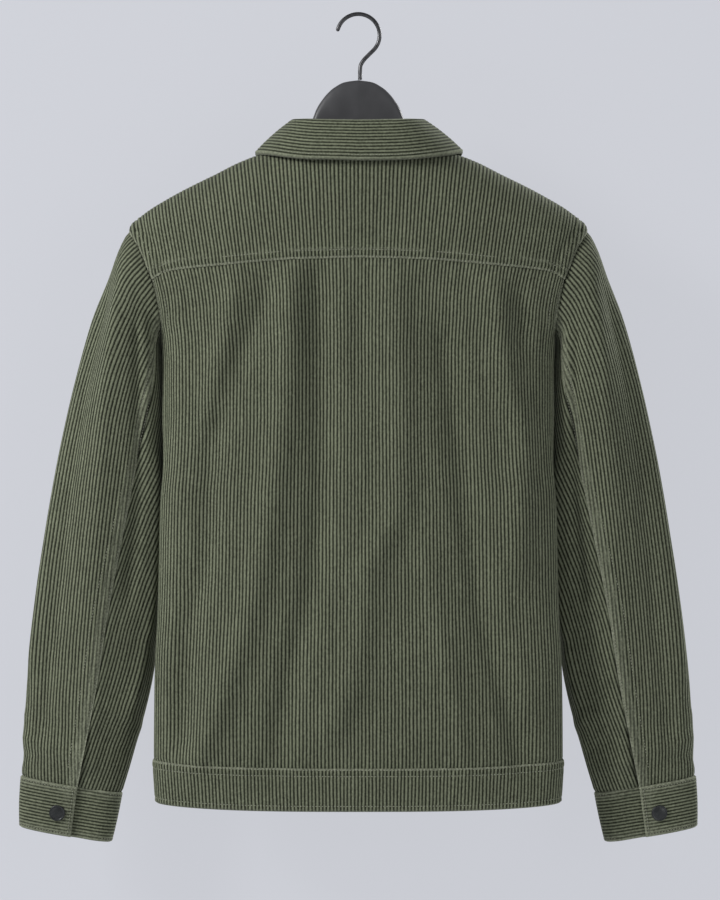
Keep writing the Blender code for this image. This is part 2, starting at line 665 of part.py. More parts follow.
def hanger_hook(finish):
    """Hook: a wire up from the hanger, round the rail and on to its free tip."""
    turn = np.radians(np.linspace(HOOK_START, HOOK_END, 22))
    arc = np.stack([HOOK_RADIUS * np.cos(turn), HOOK_RADIUS * np.sin(turn) - HOOK_DROP], axis=-1)
    line = np.concatenate([np.array(WIRE_STEM), arc])
    along = np.gradient(line, axis=0)
    along /= np.linalg.norm(along, axis=-1, keepdims=True)
    across = np.stack([along[:, 1], -along[:, 0]], axis=-1)
    angle = np.linspace(0.0, 2.0 * np.pi, 10, endpoint=False)
    flat = line[:, None, :] + WIRE_RADIUS * np.cos(angle)[None, :, None] * across[:, None, :]
    deep = np.broadcast_to(WIRE_RADIUS * np.sin(angle), flat.shape[:2])
    tube("hanger_hook", np.stack([flat[..., 0], deep, flat[..., 1]], axis=-1), finish)


def build():
    """Clear the scene and make every piece."""
    for leftover in list(bpy.data.objects):
        bpy.data.objects.remove(leftover, do_unlink=True)
    corduroy = material("olive_corduroy", (0.085, 0.092, 0.062), 0.9)
    metal = material("dark_snap", (0.03, 0.032, 0.035), 0.35, 0.9)
    plastic = material("dark_hanger", (0.05, 0.05, 0.053), 0.55)
    wire = material("dark_wire", (0.05, 0.05, 0.055), 0.4, 0.9)
    yoke(corduroy)
    back_panel(corduroy)
    front_panel("front_left", 1.0, corduroy)
    front_panel("front_right", -1.0, corduroy)
    waistband(corduroy)
    for word, side in (("left", 1.0), ("right", -1.0)):
        sleeve_piece("sleeve_outer_" + word, "front_angle", "back_angle", 21, side, corduroy)
        sleeve_piece("sleeve_under_" + word, "back_angle", "front_angle", 9, side, corduroy)
        cuff("cuff_" + word, side, corduroy)
    collar_leaf(corduroy)
    collar_stand(corduroy)
    snaps(metal)
    hanger_body(plastic)
    hanger_hook(wire)


build()
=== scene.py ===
# %% [markdown]
# # A wide-wale corduroy jacket on its hanger
# The jacket hangs closed on a plain hanger. Its body is one rounded ring at every height, and each
# panel is a patch of that surface. Sizes are in millimetres and turn into metres when a mesh is made.
# Origin: the inside top of the hook. +Z is up, the jacket's back faces +Y, the wearer's left is +X.

# %% Load the fixed frame
import bmesh
import bpy
import numpy as np
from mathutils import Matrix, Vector


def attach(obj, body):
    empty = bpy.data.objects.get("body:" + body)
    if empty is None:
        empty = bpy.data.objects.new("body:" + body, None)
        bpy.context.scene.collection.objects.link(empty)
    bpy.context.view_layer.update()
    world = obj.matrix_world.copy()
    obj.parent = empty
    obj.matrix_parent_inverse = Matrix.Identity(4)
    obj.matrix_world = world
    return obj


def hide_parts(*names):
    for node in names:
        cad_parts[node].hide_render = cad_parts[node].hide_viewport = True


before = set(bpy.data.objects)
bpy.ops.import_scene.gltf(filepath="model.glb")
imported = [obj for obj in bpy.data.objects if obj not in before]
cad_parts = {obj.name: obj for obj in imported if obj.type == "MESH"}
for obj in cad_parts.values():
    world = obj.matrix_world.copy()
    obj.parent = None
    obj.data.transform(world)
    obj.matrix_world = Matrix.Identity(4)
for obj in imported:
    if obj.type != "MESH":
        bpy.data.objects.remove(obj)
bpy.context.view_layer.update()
MM = 0.001
print("frame:", len(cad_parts), "pieces")

# %% [markdown]
# ## Driving sizes
# Corduroy is counted in wales, its raised ribs. This one is a wide wale of 3.7 mm. A rib is a rounded
# cushion of pile with a narrow groove on each side, so five mesh columns across it draw it well.

# %% Driving sizes, millimetres
WALE = 3.7                 # one rib and its groove
RIB = 0.60                 # how far a rib stands above its groove
RIB_STEPS = 5              # mesh columns across one rib
CLOTH = 1.5                # cloth below the ribs
BAND_CLOTH = 2.6           # two layers turned and stitched
LAP = 1.1                  # how proud the upper layer of a lapped seam stands
STITCH = 3.2               # length of one stitch
SEAM_ROWS = (1.5, 8.5)     # distance of the two stitch rows from a lapped edge
HEM_HALF = 216.0           # half width of the body at its widest below the armholes
SHOULDER_HALF = 244.0      # half width between the tops of the armholes
HEM_TOP, HEM_BOTTOM, HEM_RISE = 791.0, 836.0, 5.0
OVERLAP = 15.0             # how far each front passes the centre line
ARMHOLE_TOP, ARMHOLE_LOW = 228.0, 335.0
SLEEVE_POWER = 2.2
SNAP_RADIUS = 8.5
WIRE_RADIUS, HOOK_RADIUS = 2.15, 22.55
HOOK_DROP = HOOK_RADIUS - WIRE_RADIUS


def table(columns, rows):
    """A short table with named columns, as a dictionary of arrays."""
    values = np.array(rows, float)
    return {name: values[:, i] for i, name in enumerate(columns.split())}


# %% [markdown]
# ## The cut of the jacket
# The same short tables as the solid model's. A row is one level of the body, one section of a sleeve
# or one turn of the collar, and smooth curves join the rows.

# %% The body's rings, the armhole, the yoke seam and the neckline
RINGS = table("drop half middle back front back_power front_power", [
    (118.0, 22.0, 0.0, 36.0, -34.0, 2.0, 2.0),
    (141.5, 78.0, 0.0, 43.5, -41.0, 2.0, 2.0),
    (150.5, 113.0, 0.0, 46.0, -44.0, 2.0, 2.0),
    (169.6, 154.0, -2.0, 49.5, -49.0, 2.0, 2.0),
    (189.0, 193.0, -5.0, 52.0, -53.5, 2.1, 2.0),
    (208.0, 224.7, -7.0, 54.5, -57.0, 2.2, 2.1),
    (220.5, 239.0, -8.0, 56.0, -59.0, 2.3, 2.15),
    (228.0, 244.0, -8.0, 56.7, -60.0, 2.3, 2.15),
    (246.5, 246.0, -6.0, 58.0, -61.5, 2.28, 2.1),
    (265.0, 252.0, -4.0, 58.8, -62.4, 2.28, 2.0),
    (282.0, 255.0, -2.0, 59.3, -63.0, 2.3, 2.0),
    (295.0, 249.0, 0.0, 59.4, -63.3, 2.35, 2.0),
    (317.0, 224.0, 3.5, 59.2, -63.8, 2.6, 2.1),
    (328.0, 211.5, 5.0, 59.0, -64.0, 2.85, 2.15),
    (335.0, 207.5, 6.0, 58.9, -64.2, 2.95, 2.2),
    (345.0, 205.8, 7.0, 58.7, -64.4, 3.0, 2.2),
    (375.0, 204.2, 9.0, 58.3, -65.0, 3.0, 2.2),
    (424.0, 204.2, 11.0, 58.0, -66.0, 3.0, 2.2),
    (481.0, 206.4, 12.0, 58.2, -67.5, 3.0, 2.2),
    (513.0, 209.0, 12.0, 58.6, -68.5, 3.0, 2.2),
    (619.0, 211.6, 12.0, 60.3, -71.0, 3.0, 2.2),
    (704.0, 215.3, 12.0, 61.6, -72.0, 3.0, 2.2),
    (778.0, 216.0, 12.0, 62.0, -72.0, 3.0, 2.2),
    (810.0, 214.3, 12.0, 61.8, -71.7, 3.0, 2.2),
    (836.0, 212.5, 12.0, 61.2, -71.0, 3.0, 2.2),
])
ARMHOLE = table("drop back_x front_x", [
    (228.0, 244.0, 244.0), (246.5, 231.5, 229.5), (265.0, 223.3, 219.0), (282.0, 216.3, 210.5),
    (294.6, 212.6, 206.5), (317.4, 208.4, 204.5), (328.4, 207.4, 206.0), (335.0, 207.5, 207.5),
])
YOKE_SEAM = table("x drop", [
    (0.0, 259.6), (70.0, 261.6), (140.0, 267.0), (200.0, 273.0), (216.3, 281.5)])
NECK = table("x back_turn front_turn", [
    (0.0, 5.2, -8.9), (25.0, 5.0, -8.1), (50.0, 3.7, -6.3), (68.0, 2.2, -4.3),
    (80.0, 0.4, -2.6), (96.0, -2.6, -3.1), (112.0, -3.9, -3.9), (244.0, -3.9, -3.9),
])

# %% The sleeve, the cuff, the collar and the hanger
SLEEVE = table("outer_x outer_drop inner_x inner_drop middle back front", [
    (252.5, 246.0, 209.5, 348.0, -6.0, 44.0, 43.0),
    (263.0, 275.0, 209.0, 369.0, -7.0, 47.0, 45.0),
    (276.5, 316.0, 207.0, 399.0, -9.0, 48.0, 46.0),
    (291.5, 367.0, 206.0, 437.0, -12.0, 46.0, 45.0),
    (312.0, 449.0, 206.5, 500.0, -17.0, 41.0, 41.0),
    (329.0, 534.0, 208.5, 566.0, -21.0, 36.0, 36.0),
    (343.0, 620.0, 212.5, 640.0, -23.0, 31.0, 31.0),
    (351.5, 690.0, 221.0, 708.0, -24.0, 27.0, 27.0),
    (357.0, 765.0, 240.0, 782.0, -24.0, 23.0, 23.0),
    (359.0, 808.0, 253.0, 826.0, -24.0, 19.0, 19.0),
])
CUFF = table("outer_x outer_drop inner_x inner_drop middle back front", [
    (360.4, 806.4, 251.8, 824.4, -24.0, 21.0, 21.0),
    (362.0, 862.0, 263.5, 878.5, -24.0, 20.0, 20.0),
])
SLEEVE_SEAMS = table("share back_angle front_angle", [
    (0.0, 150.0, -150.0), (0.10, 141.0, -139.0), (0.25, 126.0, -125.0),
    (0.45, 110.0, -112.0), (0.70, 99.0, -102.0), (1.0, 97.0, -98.0),
])
LEAF = table("turn fold_x fold_y fold_drop edge_x edge_y edge_drop", [
    (0.0, 0.0, 46.0, 114.0, 0.0, 57.0, 158.0),
    (30.0, 36.0, 43.0, 113.0, 50.0, 55.0, 156.5),
    (60.0, 60.0, 28.0, 110.5, 91.5, 39.5, 150.0),
    (90.0, 68.0, 4.0, 109.0, 111.0, 3.0, 144.8),
    (115.0, 63.5, -19.0, 116.0, 105.5, -34.0, 155.5),
    (140.0, 46.0, -41.0, 136.0, 82.0, -60.0, 190.0),
    (160.0, 25.0, -53.0, 156.0, 62.0, -69.0, 221.0),
    (174.0, 6.0, -57.0, 168.0, 46.0, -74.0, 245.0),
])
HANGER = table("x top bottom half_thick", [
    (0.0, 68.0, 152.0, 7.5), (14.0, 70.0, 151.5, 7.5), (26.0, 76.2, 151.0, 7.3),
    (33.5, 83.0, 150.5, 7.0), (39.0, 90.0, 150.5, 7.0), (44.0, 98.0, 151.0, 7.0),
    (48.0, 108.0, 152.0, 7.0), (54.0, 125.0, 153.5, 7.0), (62.0, 142.0, 156.5, 7.0),
    (72.0, 147.5, 161.0, 7.0), (84.0, 149.0, 165.0, 7.0), (113.0, 154.5, 178.0, 7.5),
    (154.0, 173.5, 195.0, 8.5), (193.0, 193.0, 212.0, 9.5), (214.0, 205.0, 220.0, 9.5),
])
FRONT_SNAP_DROPS = (232.0, 345.0, 458.0, 571.0, 684.0)
BAND_SNAP_DROP = 813.0
CUFF_SNAP_ANGLE = 81.0
CUFF_SNAP_LEVEL = 0.57
print("tables:", len(RINGS["drop"]), "rings,", len(SLEEVE["middle"]), "sleeve sections")

# %% [markdown]
# ## Curves through the tables
# A plain cubic spline would swing past its points and bulge the cloth. The monotone cubic keeps
# level where the table is level: its slope at a point is the harmonic mean of the two slopes beside it.

# %% Smooth curves and ramps


def through(knots, values, at):
    """A smooth curve through a table's values, which never overshoots them."""
    at = np.clip(np.asarray(at, float), knots[0], knots[-1])
    run = np.diff(knots)
    rise = np.diff(values) / run
    before, after = rise[:-1], rise[1:]
    same_way = before * after > 0.0
    total = np.where(same_way, before + after, 1.0)
    inner = np.where(same_way, 2.0 * before * after / total, 0.0)
    slope = np.concatenate([rise[:1], inner, rise[-1:]])
    i = np.clip(np.searchsorted(knots, at) - 1, 0, len(run) - 1)
    t = (at - knots[i]) / run[i]
    return (values[i] * (1 + 2 * t) * (1 - t) ** 2 + values[i + 1] * t * t * (3 - 2 * t)
            + slope[i] * run[i] * t * (1 - t) ** 2 - slope[i + 1] * run[i] * t * t * (1 - t))


def ramp(value):
    """0 up to 1 with level ends: 3t^2 - 2t^3."""
    t = np.clip(value, 0.0, 1.0)
    return t * t * (3.0 - 2.0 * t)


def mirror_of(side):
    """The factor that takes the wearer's left side, 1, to the right one, -1."""
    return np.array([side, 1.0, 1.0])


def wrapped_angle(angle):
    """An angle brought between -180 and 180."""
    return (angle + 180.0) % 360.0 - 180.0


def bump(distance, width):
    """A soft hump, 1 at the middle: e to the minus (distance/width) squared."""
    return np.exp(-(distance / width) ** 2)


def ring(column, drop):
    """One column of the body's rings at any drop."""
    return through(RINGS["drop"], RINGS[column], drop)


def ridge_drop(x):
    """Drop of the shoulder ridge, where the body's rings come to an end."""
    above = RINGS["drop"] <= ARMHOLE_TOP
    return through(RINGS["half"][above], RINGS["drop"][above], np.abs(x))


def hem_rise(x):
    """How much higher the hem hangs here than at the centre."""
    return HEM_RISE * (np.abs(x) / RINGS["half"][-1]) ** 3


# %% [markdown]
# ## The body as one surface
# Each ring is a superellipse, |x/half|^p + |y/reach|^p = 1, which is flatter than an ellipse, as a
# garment on a hanger is. Panels, snaps and seams all read their points from it, so they meet.

# %% Points and outward directions on the body


def body_point(x, drop, back):
    """A point of the body: y = middle + reach (1 - share^p)^(1/p)."""
    x, drop = np.broadcast_arrays(np.asarray(x, float), np.asarray(drop, float))
    middle = ring("middle", drop)
    reach = np.where(back, ring("back", drop), ring("front", drop)) - middle
    power = np.where(back, ring("back_power", drop), ring("front_power", drop))
    share = np.clip(np.abs(x) / ring("half", drop), 0.0, 1.0)
    y = middle + reach * (1.0 - share ** power) ** (1.0 / power)
    return np.stack([x, y, -drop], axis=-1)


def body_fill(point):
    """1 on the body's surface, less inside it and more outside."""
    x, y, drop = point[..., 0], point[..., 1], -point[..., 2]
    middle = ring("middle", drop)
    back = y > middle
    reach = np.abs(np.where(back, ring("back", drop), ring("front", drop)) - middle)
    power = np.where(back, ring("back_power", drop), ring("front_power", drop))
    return np.abs(x / ring("half", drop)) ** power + np.abs((y - middle) / reach) ** power


def body_outward(point, step=0.05):
    """Unit direction in which the body's fill grows fastest."""
    grown = [body_fill(point + step * axis) - body_fill(point - step * axis) for axis in np.eye(3)]
    away = np.stack(grown, axis=-1)
    return away / np.linalg.norm(away, axis=-1, keepdims=True)


def armhole_point(angle):
    """The armhole seam: 0 at the shoulder tip, 180 at the underarm, positive on the back."""
    angle = np.asarray(angle, float)
    middle, half = 0.5 * (ARMHOLE_TOP + ARMHOLE_LOW), 0.5 * (ARMHOLE_LOW - ARMHOLE_TOP)
    drop = middle - half * np.cos(np.radians(angle))
    back = angle >= 0.0
    x = np.where(back, through(ARMHOLE["drop"], ARMHOLE["back_x"], drop),
                 through(ARMHOLE["drop"], ARMHOLE["front_x"], drop))
    return body_point(x, drop, back)


def armhole_turn(angle):
    """The armhole seam as a signed root of its drop below the shoulder ridge."""
    point = armhole_point(angle)
    below = np.maximum(-point[..., 2] - ridge_drop(point[..., 0]), 0.0)
    return np.where(np.asarray(angle) >= 0.0, 1.0, -1.0) * np.sqrt(below)


# %% [markdown]
# ## Folds laid in one by one
# Cloth that hangs from a hanger falls in long soft folds, and no two are alike. A fold here is a short
# line of places down the body with its own width and height: above zero it stands out, below zero it
# sinks in. Adding them up on one field keeps every seam joined, because all pieces read the same field.

# %% Folds of the body
FOLD_GAIN = 1.55           # one setting for how strongly the whole cloth is folded
BACK_FOLDS = (
    (16.0, 4.6, ((60, 264), (69, 280), (76, 407), (90, 513), (107, 605), (125, 669), (147, 732), (172, 800))),
    (12.0, -3.4, ((96, 276), (97, 294), (118, 351), (128, 392))),
    (14.0, -4.2, ((146, 420), (154, 463), (160, 569), (175, 640), (186, 775))),
    (11.0, 2.8, ((127, 270), (129, 287), (154, 407), (160, 440))),
    (15.0, -4.8, ((40, 262), (41, 300), (37, 449), (41, 542), (51, 619), (69, 690), (86, 800))),
    (17.0, 4.2, ((-34, 264), (-37, 280), (-44, 421), (-44, 506), (-9, 590), (-2, 654), (6, 696), (30, 760))),
    (12.0, -2.6, ((-2, 300), (-2, 351), (-4, 400))),
    (15.0, -4.6, ((-88, 330), (-94, 378), (-108, 478), (-122, 584), (-129, 633), (-150, 704), (-176, 800))),
    (15.0, 3.8, ((-140, 272), (-143, 287), (-153, 378), (-171, 442), (-168, 548), (-166, 590))),
    (11.0, -3.0, ((-166, 290), (-168, 322), (-170, 360))),
    (13.0, 2.6, ((-70, 560), (-84, 640), (-100, 720), (-112, 800))),
    (10.0, 1.8, ((190, 300), (190, 420), (196, 560), (204, 700))),
)
FRONT_FOLDS = (
    (17.0, 4.0, ((70, 300), (78, 420), (92, 560), (112, 690), (124, 800))),
    (14.0, -4.2, ((108, 262), (122, 380), (134, 520), (150, 660), (166, 800))),
    (13.0, -3.4, ((44, 320), (40, 470), (52, 610), (66, 760))),
    (15.0, 3.6, ((160, 300), (158, 430), (172, 580), (182, 720))),
    (16.0, 4.2, ((-64, 290), (-72, 430), (-86, 590), (-100, 780))),
    (14.0, -4.0, ((-96, 270), (-112, 400), (-122, 560), (-146, 770))),
    (14.0, -3.2, ((-40, 340), (-46, 520), (-54, 700), (-58, 800))),
    (15.0, 3.4, ((-146, 300), (-152, 440), (-164, 600), (-176, 760))),
)


def fold_field(folds, x, drop, reach=46.0):
    """Sum of the folds: height x bump across the line x ramps at its two ends."""
    total = np.zeros(np.broadcast(x, drop).shape)
    for width, height, line in folds:
        height = FOLD_GAIN * height
        at_x, at_drop = np.array(line, float).T
        centre = through(at_drop, at_x, drop)
        ends = ramp((drop - at_drop[0]) / reach + 0.5) * ramp((at_drop[-1] - drop) / reach + 0.5)
        total += height * bump(x - centre, width) * ends
    return total


def body_folds(x, drop, back):
    """Folds of the back or the front, calmer at the shoulder, the side and the stitched hem."""
    both = np.where(back, fold_field(BACK_FOLDS, x, drop), fold_field(FRONT_FOLDS, x, drop))
    near_side = 1.0 - ramp((np.abs(x) / ring("half", drop) - 0.86) / 0.13)
    from_yoke = ramp((drop - 205.0) / 110.0)
    at_hem = 1.0 - 0.45 * ramp((drop - HEM_TOP + 30.0) / 40.0)
    return both * near_side * from_yoke * at_hem


print("folds:", len(BACK_FOLDS), "on the back,", len(FRONT_FOLDS), "on the front")

# %% [markdown]
# ## Corduroy as geometry
# A rib is 3.7 mm wide and under 1 mm high. Bump alone would fake it in the middle of a panel but not
# along a fold or an edge, so the mesh columns follow the wales and lift into real ribs. The height
# across one wale is RIB (1 - |2f - 1|^2.6), a broad cushion with a narrow groove on each side.

# %% Ribs, and the columns that follow them
RIB_PLACES = (0.0, 0.15, 0.37, 0.63, 0.85)    # where the five columns stand across one rib


def rib_columns(wales):
    """Column positions in wales, from 0 to a whole number of them."""
    places = np.arange(wales)[:, None] + np.array(RIB_PLACES)[None, :]
    return np.append(places.ravel(), float(wales))


def uneven(u, v):
    """A slow wander between -1 and 1: three sines whose periods never line up."""
    return (np.sin(1.7 * u + 0.043 * v) + np.sin(0.61 * u - 0.071 * v + 2.0)
            + np.sin(2.9 * u + 0.019 * v + 4.0)) / 3.0


def rib_height(u, v):
    """Height of the pile at u wales across and v millimetres along."""
    across = np.abs(2.0 * (u - np.floor(u)) - 1.0)
    return RIB * (1.0 - across ** 2.6) * (1.0 + 0.16 * uneven(np.floor(u), v))


def lapped(distance, rows=SEAM_ROWS, proud=LAP):
    """Lift near a turned, stitched edge: raised layers, a rolled edge, pressed stitch rows."""
    raised = proud * (1.0 - ramp((distance - rows[-1] - 0.5) / 5.0))
    rolled = 0.75 * (1.0 - ramp(distance / 1.1))
    pressed = sum(1.35 * bump(distance - row, 1.1) for row in rows)
    return raised - rolled - pressed


def marks(length, start, stop, spacing):
    """Row places from 0 to length: close to each other near stitched ends, even between."""
    first, last = np.array(start, float), length - np.array(stop, float)[::-1]
    count = max(int(round((last[0] - first[-1]) / spacing)), 1)
    return np.concatenate([first, np.linspace(first[-1], last[0], count + 1)[1:-1], last])


SEAM_MARKS = (0.0, 0.7, 1.5, 2.6, 4.5, 6.8, 7.8, 8.5, 9.3, 11.0, 14.0, 18.0)

# %% [markdown]
# ## From a grid to a closed shell
# The face of the cloth needs every rib, its inside hardly any. So the inner wall keeps one column a
# wale and every third row, and each stretch of rim is one many-sided face between the two walls.

# %% Shells and joined meshes


def finished(name, points, faces, finish, uv=None, seam=None, sharp=55.0):
    """An object from points in millimetres, riding on the jacket's one body."""
    mesh = bpy.data.meshes.new(name)
    mesh.from_pydata((points * MM).tolist(), [], faces)
    if uv is not None:
        corner = np.empty(len(mesh.loops), np.int32)
        mesh.loops.foreach_get("vertex_index", corner)
        mesh.uv_layers.new(name="wales").data.foreach_set("uv", uv[corner].astype(np.float32).ravel())
    # the paler-edge attribute: real wear plus painted highlight along folded and stitched edges
    if seam is not None:
        worn_and_highlit = mesh.attributes.new("worn_and_highlit", "FLOAT", "POINT")
        worn_and_highlit.data.foreach_set("value", seam.astype(np.float32).ravel())
    mesh.shade_smooth()
    mesh.set_sharp_from_angle(angle=np.radians(sharp))
    piece = bpy.data.objects.new(name, mesh)
    mesh.materials.append(finish)
    bpy.context.collection.objects.link(piece)
    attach(piece, "root")
    return piece


def quads(index):
    """Four-cornered faces of a grid of point numbers."""
    return np.stack([index[:-1, :-1], index[:-1, 1:], index[1:, 1:], index[1:, :-1]], -1).reshape(-1, 4)


def cloth(name, base, outward, u, v, lift, finish, worn_and_highlit=None, thickness=CLOTH, row_step=3,
          column_step=RIB_STEPS, ribs=1.0, wander=0.28):
    """A cloth shell: face = base + (lift + ribs) x outward, inside = base + lift - thickness."""
    rows, columns = base.shape[:2]
    u, v = np.broadcast_to(u, (rows, columns)), np.broadcast_to(v, (rows, columns))
    lift = np.broadcast_to(lift, (rows, columns))
    sideways = np.gradient(base, axis=1)
    sideways /= np.linalg.norm(sideways, axis=-1, keepdims=True) + 1e-9
    face = base + (lift + ribs * rib_height(u, v))[..., None] * outward
    face = face + (wander * uneven(0.7 * np.floor(u + 0.5) + 3.0, 1.6 * v))[..., None] * sideways
    r = np.unique(np.append(np.arange(0, rows, row_step), rows - 1))
    c = np.unique(np.append(np.arange(0, columns, column_step), columns - 1))
    inner = (base + (lift - thickness)[..., None] * outward)[np.ix_(r, c)]
    index = np.arange(rows * columns).reshape(rows, columns)
    under = np.arange(len(r) * len(c)).reshape(len(r), len(c)) + rows * columns
    i, j = rows // 2, columns // 2
    across, down = base[i, j + 1] - base[i, j], base[i + 1, j] - base[i, j]
    same = np.dot(np.cross(down, across), outward[i, j]) > 0.0
    face_quads, inner_quads = quads(index), quads(under)
    faces = (face_quads[:, ::-1] if same else face_quads).tolist()
    faces += (inner_quads if same else inner_quads[:, ::-1]).tolist()
    rims = []
    for a, b in zip(c[:-1], c[1:]):
        k = int(np.searchsorted(c, a))
        rims.append(index[0, a:b + 1].tolist() + [int(under[0, k + 1]), int(under[0, k])])
        rims.append(index[-1, a:b + 1][::-1].tolist() + [int(under[-1, k]), int(under[-1, k + 1])])
    for a, b in zip(r[:-1], r[1:]):
        k = int(np.searchsorted(r, a))
        rims.append(index[a:b + 1, 0][::-1].tolist() + [int(under[k, 0]), int(under[k + 1, 0])])
        rims.append(index[a:b + 1, -1].tolist() + [int(under[k + 1, -1]), int(under[k, -1])])
    faces += rims if same else [rim[::-1] for rim in rims]
    uv = np.stack([u, v * MM], -1)
    seam = np.zeros((rows, columns)) if worn_and_highlit is None else np.broadcast_to(worn_and_highlit, (rows, columns))
    every = np.concatenate([face.reshape(-1, 3), inner.reshape(-1, 3)])
    uv = np.concatenate([uv.reshape(-1, 2), uv[np.ix_(r, c)].reshape(-1, 2)])
    seam = np.concatenate([seam.ravel(), seam[np.ix_(r, c)].ravel()])
    return finished(name, every, faces, finish, uv, seam)


def stitches(name, lines, finish, length=STITCH, radius=0.46):
    """Rows of thread as one mesh. A line is (points, outward); a stitch is a four-sided spindle."""
    body, faces, count = [], [], 0
    for points, outward in lines:
        step = np.linalg.norm(np.diff(points, axis=0), axis=-1)
        far = np.concatenate([[0.0], np.cumsum(step)])
        total = max(int(far[-1] / length), 1)
        middle = (np.arange(total) + 0.5) * far[-1] / total

        def at(where, values):
            return np.stack([np.interp(where, far, values[:, k]) for k in range(3)], axis=-1)

        ahead, behind = at(middle + 0.4 * length, points), at(middle - 0.4 * length, points)
        out = at(middle, outward)
        out /= np.linalg.norm(out, axis=-1, keepdims=True)
        along = ahead - behind
        side = np.cross(along, out)
        side /= np.linalg.norm(side, axis=-1, keepdims=True)
        sunk = 0.35 * out
        rings = [behind - sunk]
        for share in (0.28, 0.72):
            centre = behind + share * along + 0.25 * out
            rings += [centre + radius * out, centre + radius * side,
                      centre - radius * out, centre - radius * side]
        rings.append(ahead - sunk)
        body.append(np.stack(rings, axis=1).reshape(-1, 3))
        one = [[0, 2, 1], [0, 3, 2], [0, 4, 3], [0, 1, 4],
               [1, 2, 6, 5], [2, 3, 7, 6], [3, 4, 8, 7], [4, 1, 5, 8],
               [9, 5, 6], [9, 6, 7], [9, 7, 8], [9, 8, 5]]
        for start in range(count, count + 10 * total, 10):
            faces += [[start + k for k in face] for face in one]
        count += 10 * total
    print(name, "has", count // 10, "stitches")
    return finished(name, np.concatenate(body), faces, finish, sharp=180.0)


# %% [markdown]
# ## The corduroy's colour
# Pile stands up on each rib and shows its ends to the light, while the groove shows the dark ground
# weave; the groove's colour is also painted much darker than that, as painted shade down in each groove.
# So the colour runs with the UV map: u counts wales, and its fraction says how far the point is from a
# groove. Slow noise makes the nap lie unevenly, and edges are paler, partly from wear and partly as a
# painted highlight where a folded edge catches the light.

# %% Helpers for materials


def shade(*rgb):
    """A colour on the 0 to 255 scale, as the linear values a shader wants."""
    c = np.array(rgb, float) / 255.0
    linear = np.where(c <= 0.04045, c / 12.92, ((c + 0.055) / 1.055) ** 2.4)
    return (*linear.tolist(), 1.0)


def new_finish(name, roughness, metallic=0.0):
    """An empty node material with its Principled shader."""
    finish = bpy.data.materials.new(name)
    finish.use_nodes = True
    tree = finish.node_tree
    shader = tree.nodes["Principled BSDF"]
    shader.inputs["Roughness"].default_value = roughness
    shader.inputs["Metallic"].default_value = metallic
    return finish, tree, shader


def node(tree, kind, inputs=(), **settings):
    """A node with its settings, and its inputs linked or filled."""
    made = tree.nodes.new(kind)
    for key, value in settings.items():
        setattr(made, key, value)
    for key, value in dict(inputs).items():
        if isinstance(value, bpy.types.NodeSocket):
            tree.links.new(value, made.inputs[key])
        else:
            made.inputs[key].default_value = value
    return made


def maths(tree, operation, *values):
    """One Math node's result."""
    return node(tree, "ShaderNodeMath", enumerate(values), operation=operation).outputs[0]


def colours(tree, value, stops):
    """A colour ramp over a value: stops are (place, colour)."""
    made = node(tree, "ShaderNodeValToRGB", {"Fac": value})
    band = made.color_ramp
    for place, colour in stops[1:-1]:
        band.elements.new(place).color = colour
    band.elements[0].position, band.elements[0].color = stops[0]
    band.elements[-1].position, band.elements[-1].color = stops[-1]
    return made.outputs["Color"]


def blended(tree, amount, first, second, way="MIX"):
    """Two colours mixed."""
    made = node(tree, "ShaderNodeMix", data_type="RGBA", blend_type=way)
    for slot, value in ((0, amount), (6, first), (7, second)):
        if isinstance(value, bpy.types.NodeSocket):
            tree.links.new(value, made.inputs[slot])
        else:
            made.inputs[slot].default_value = value
    return made.outputs[2]


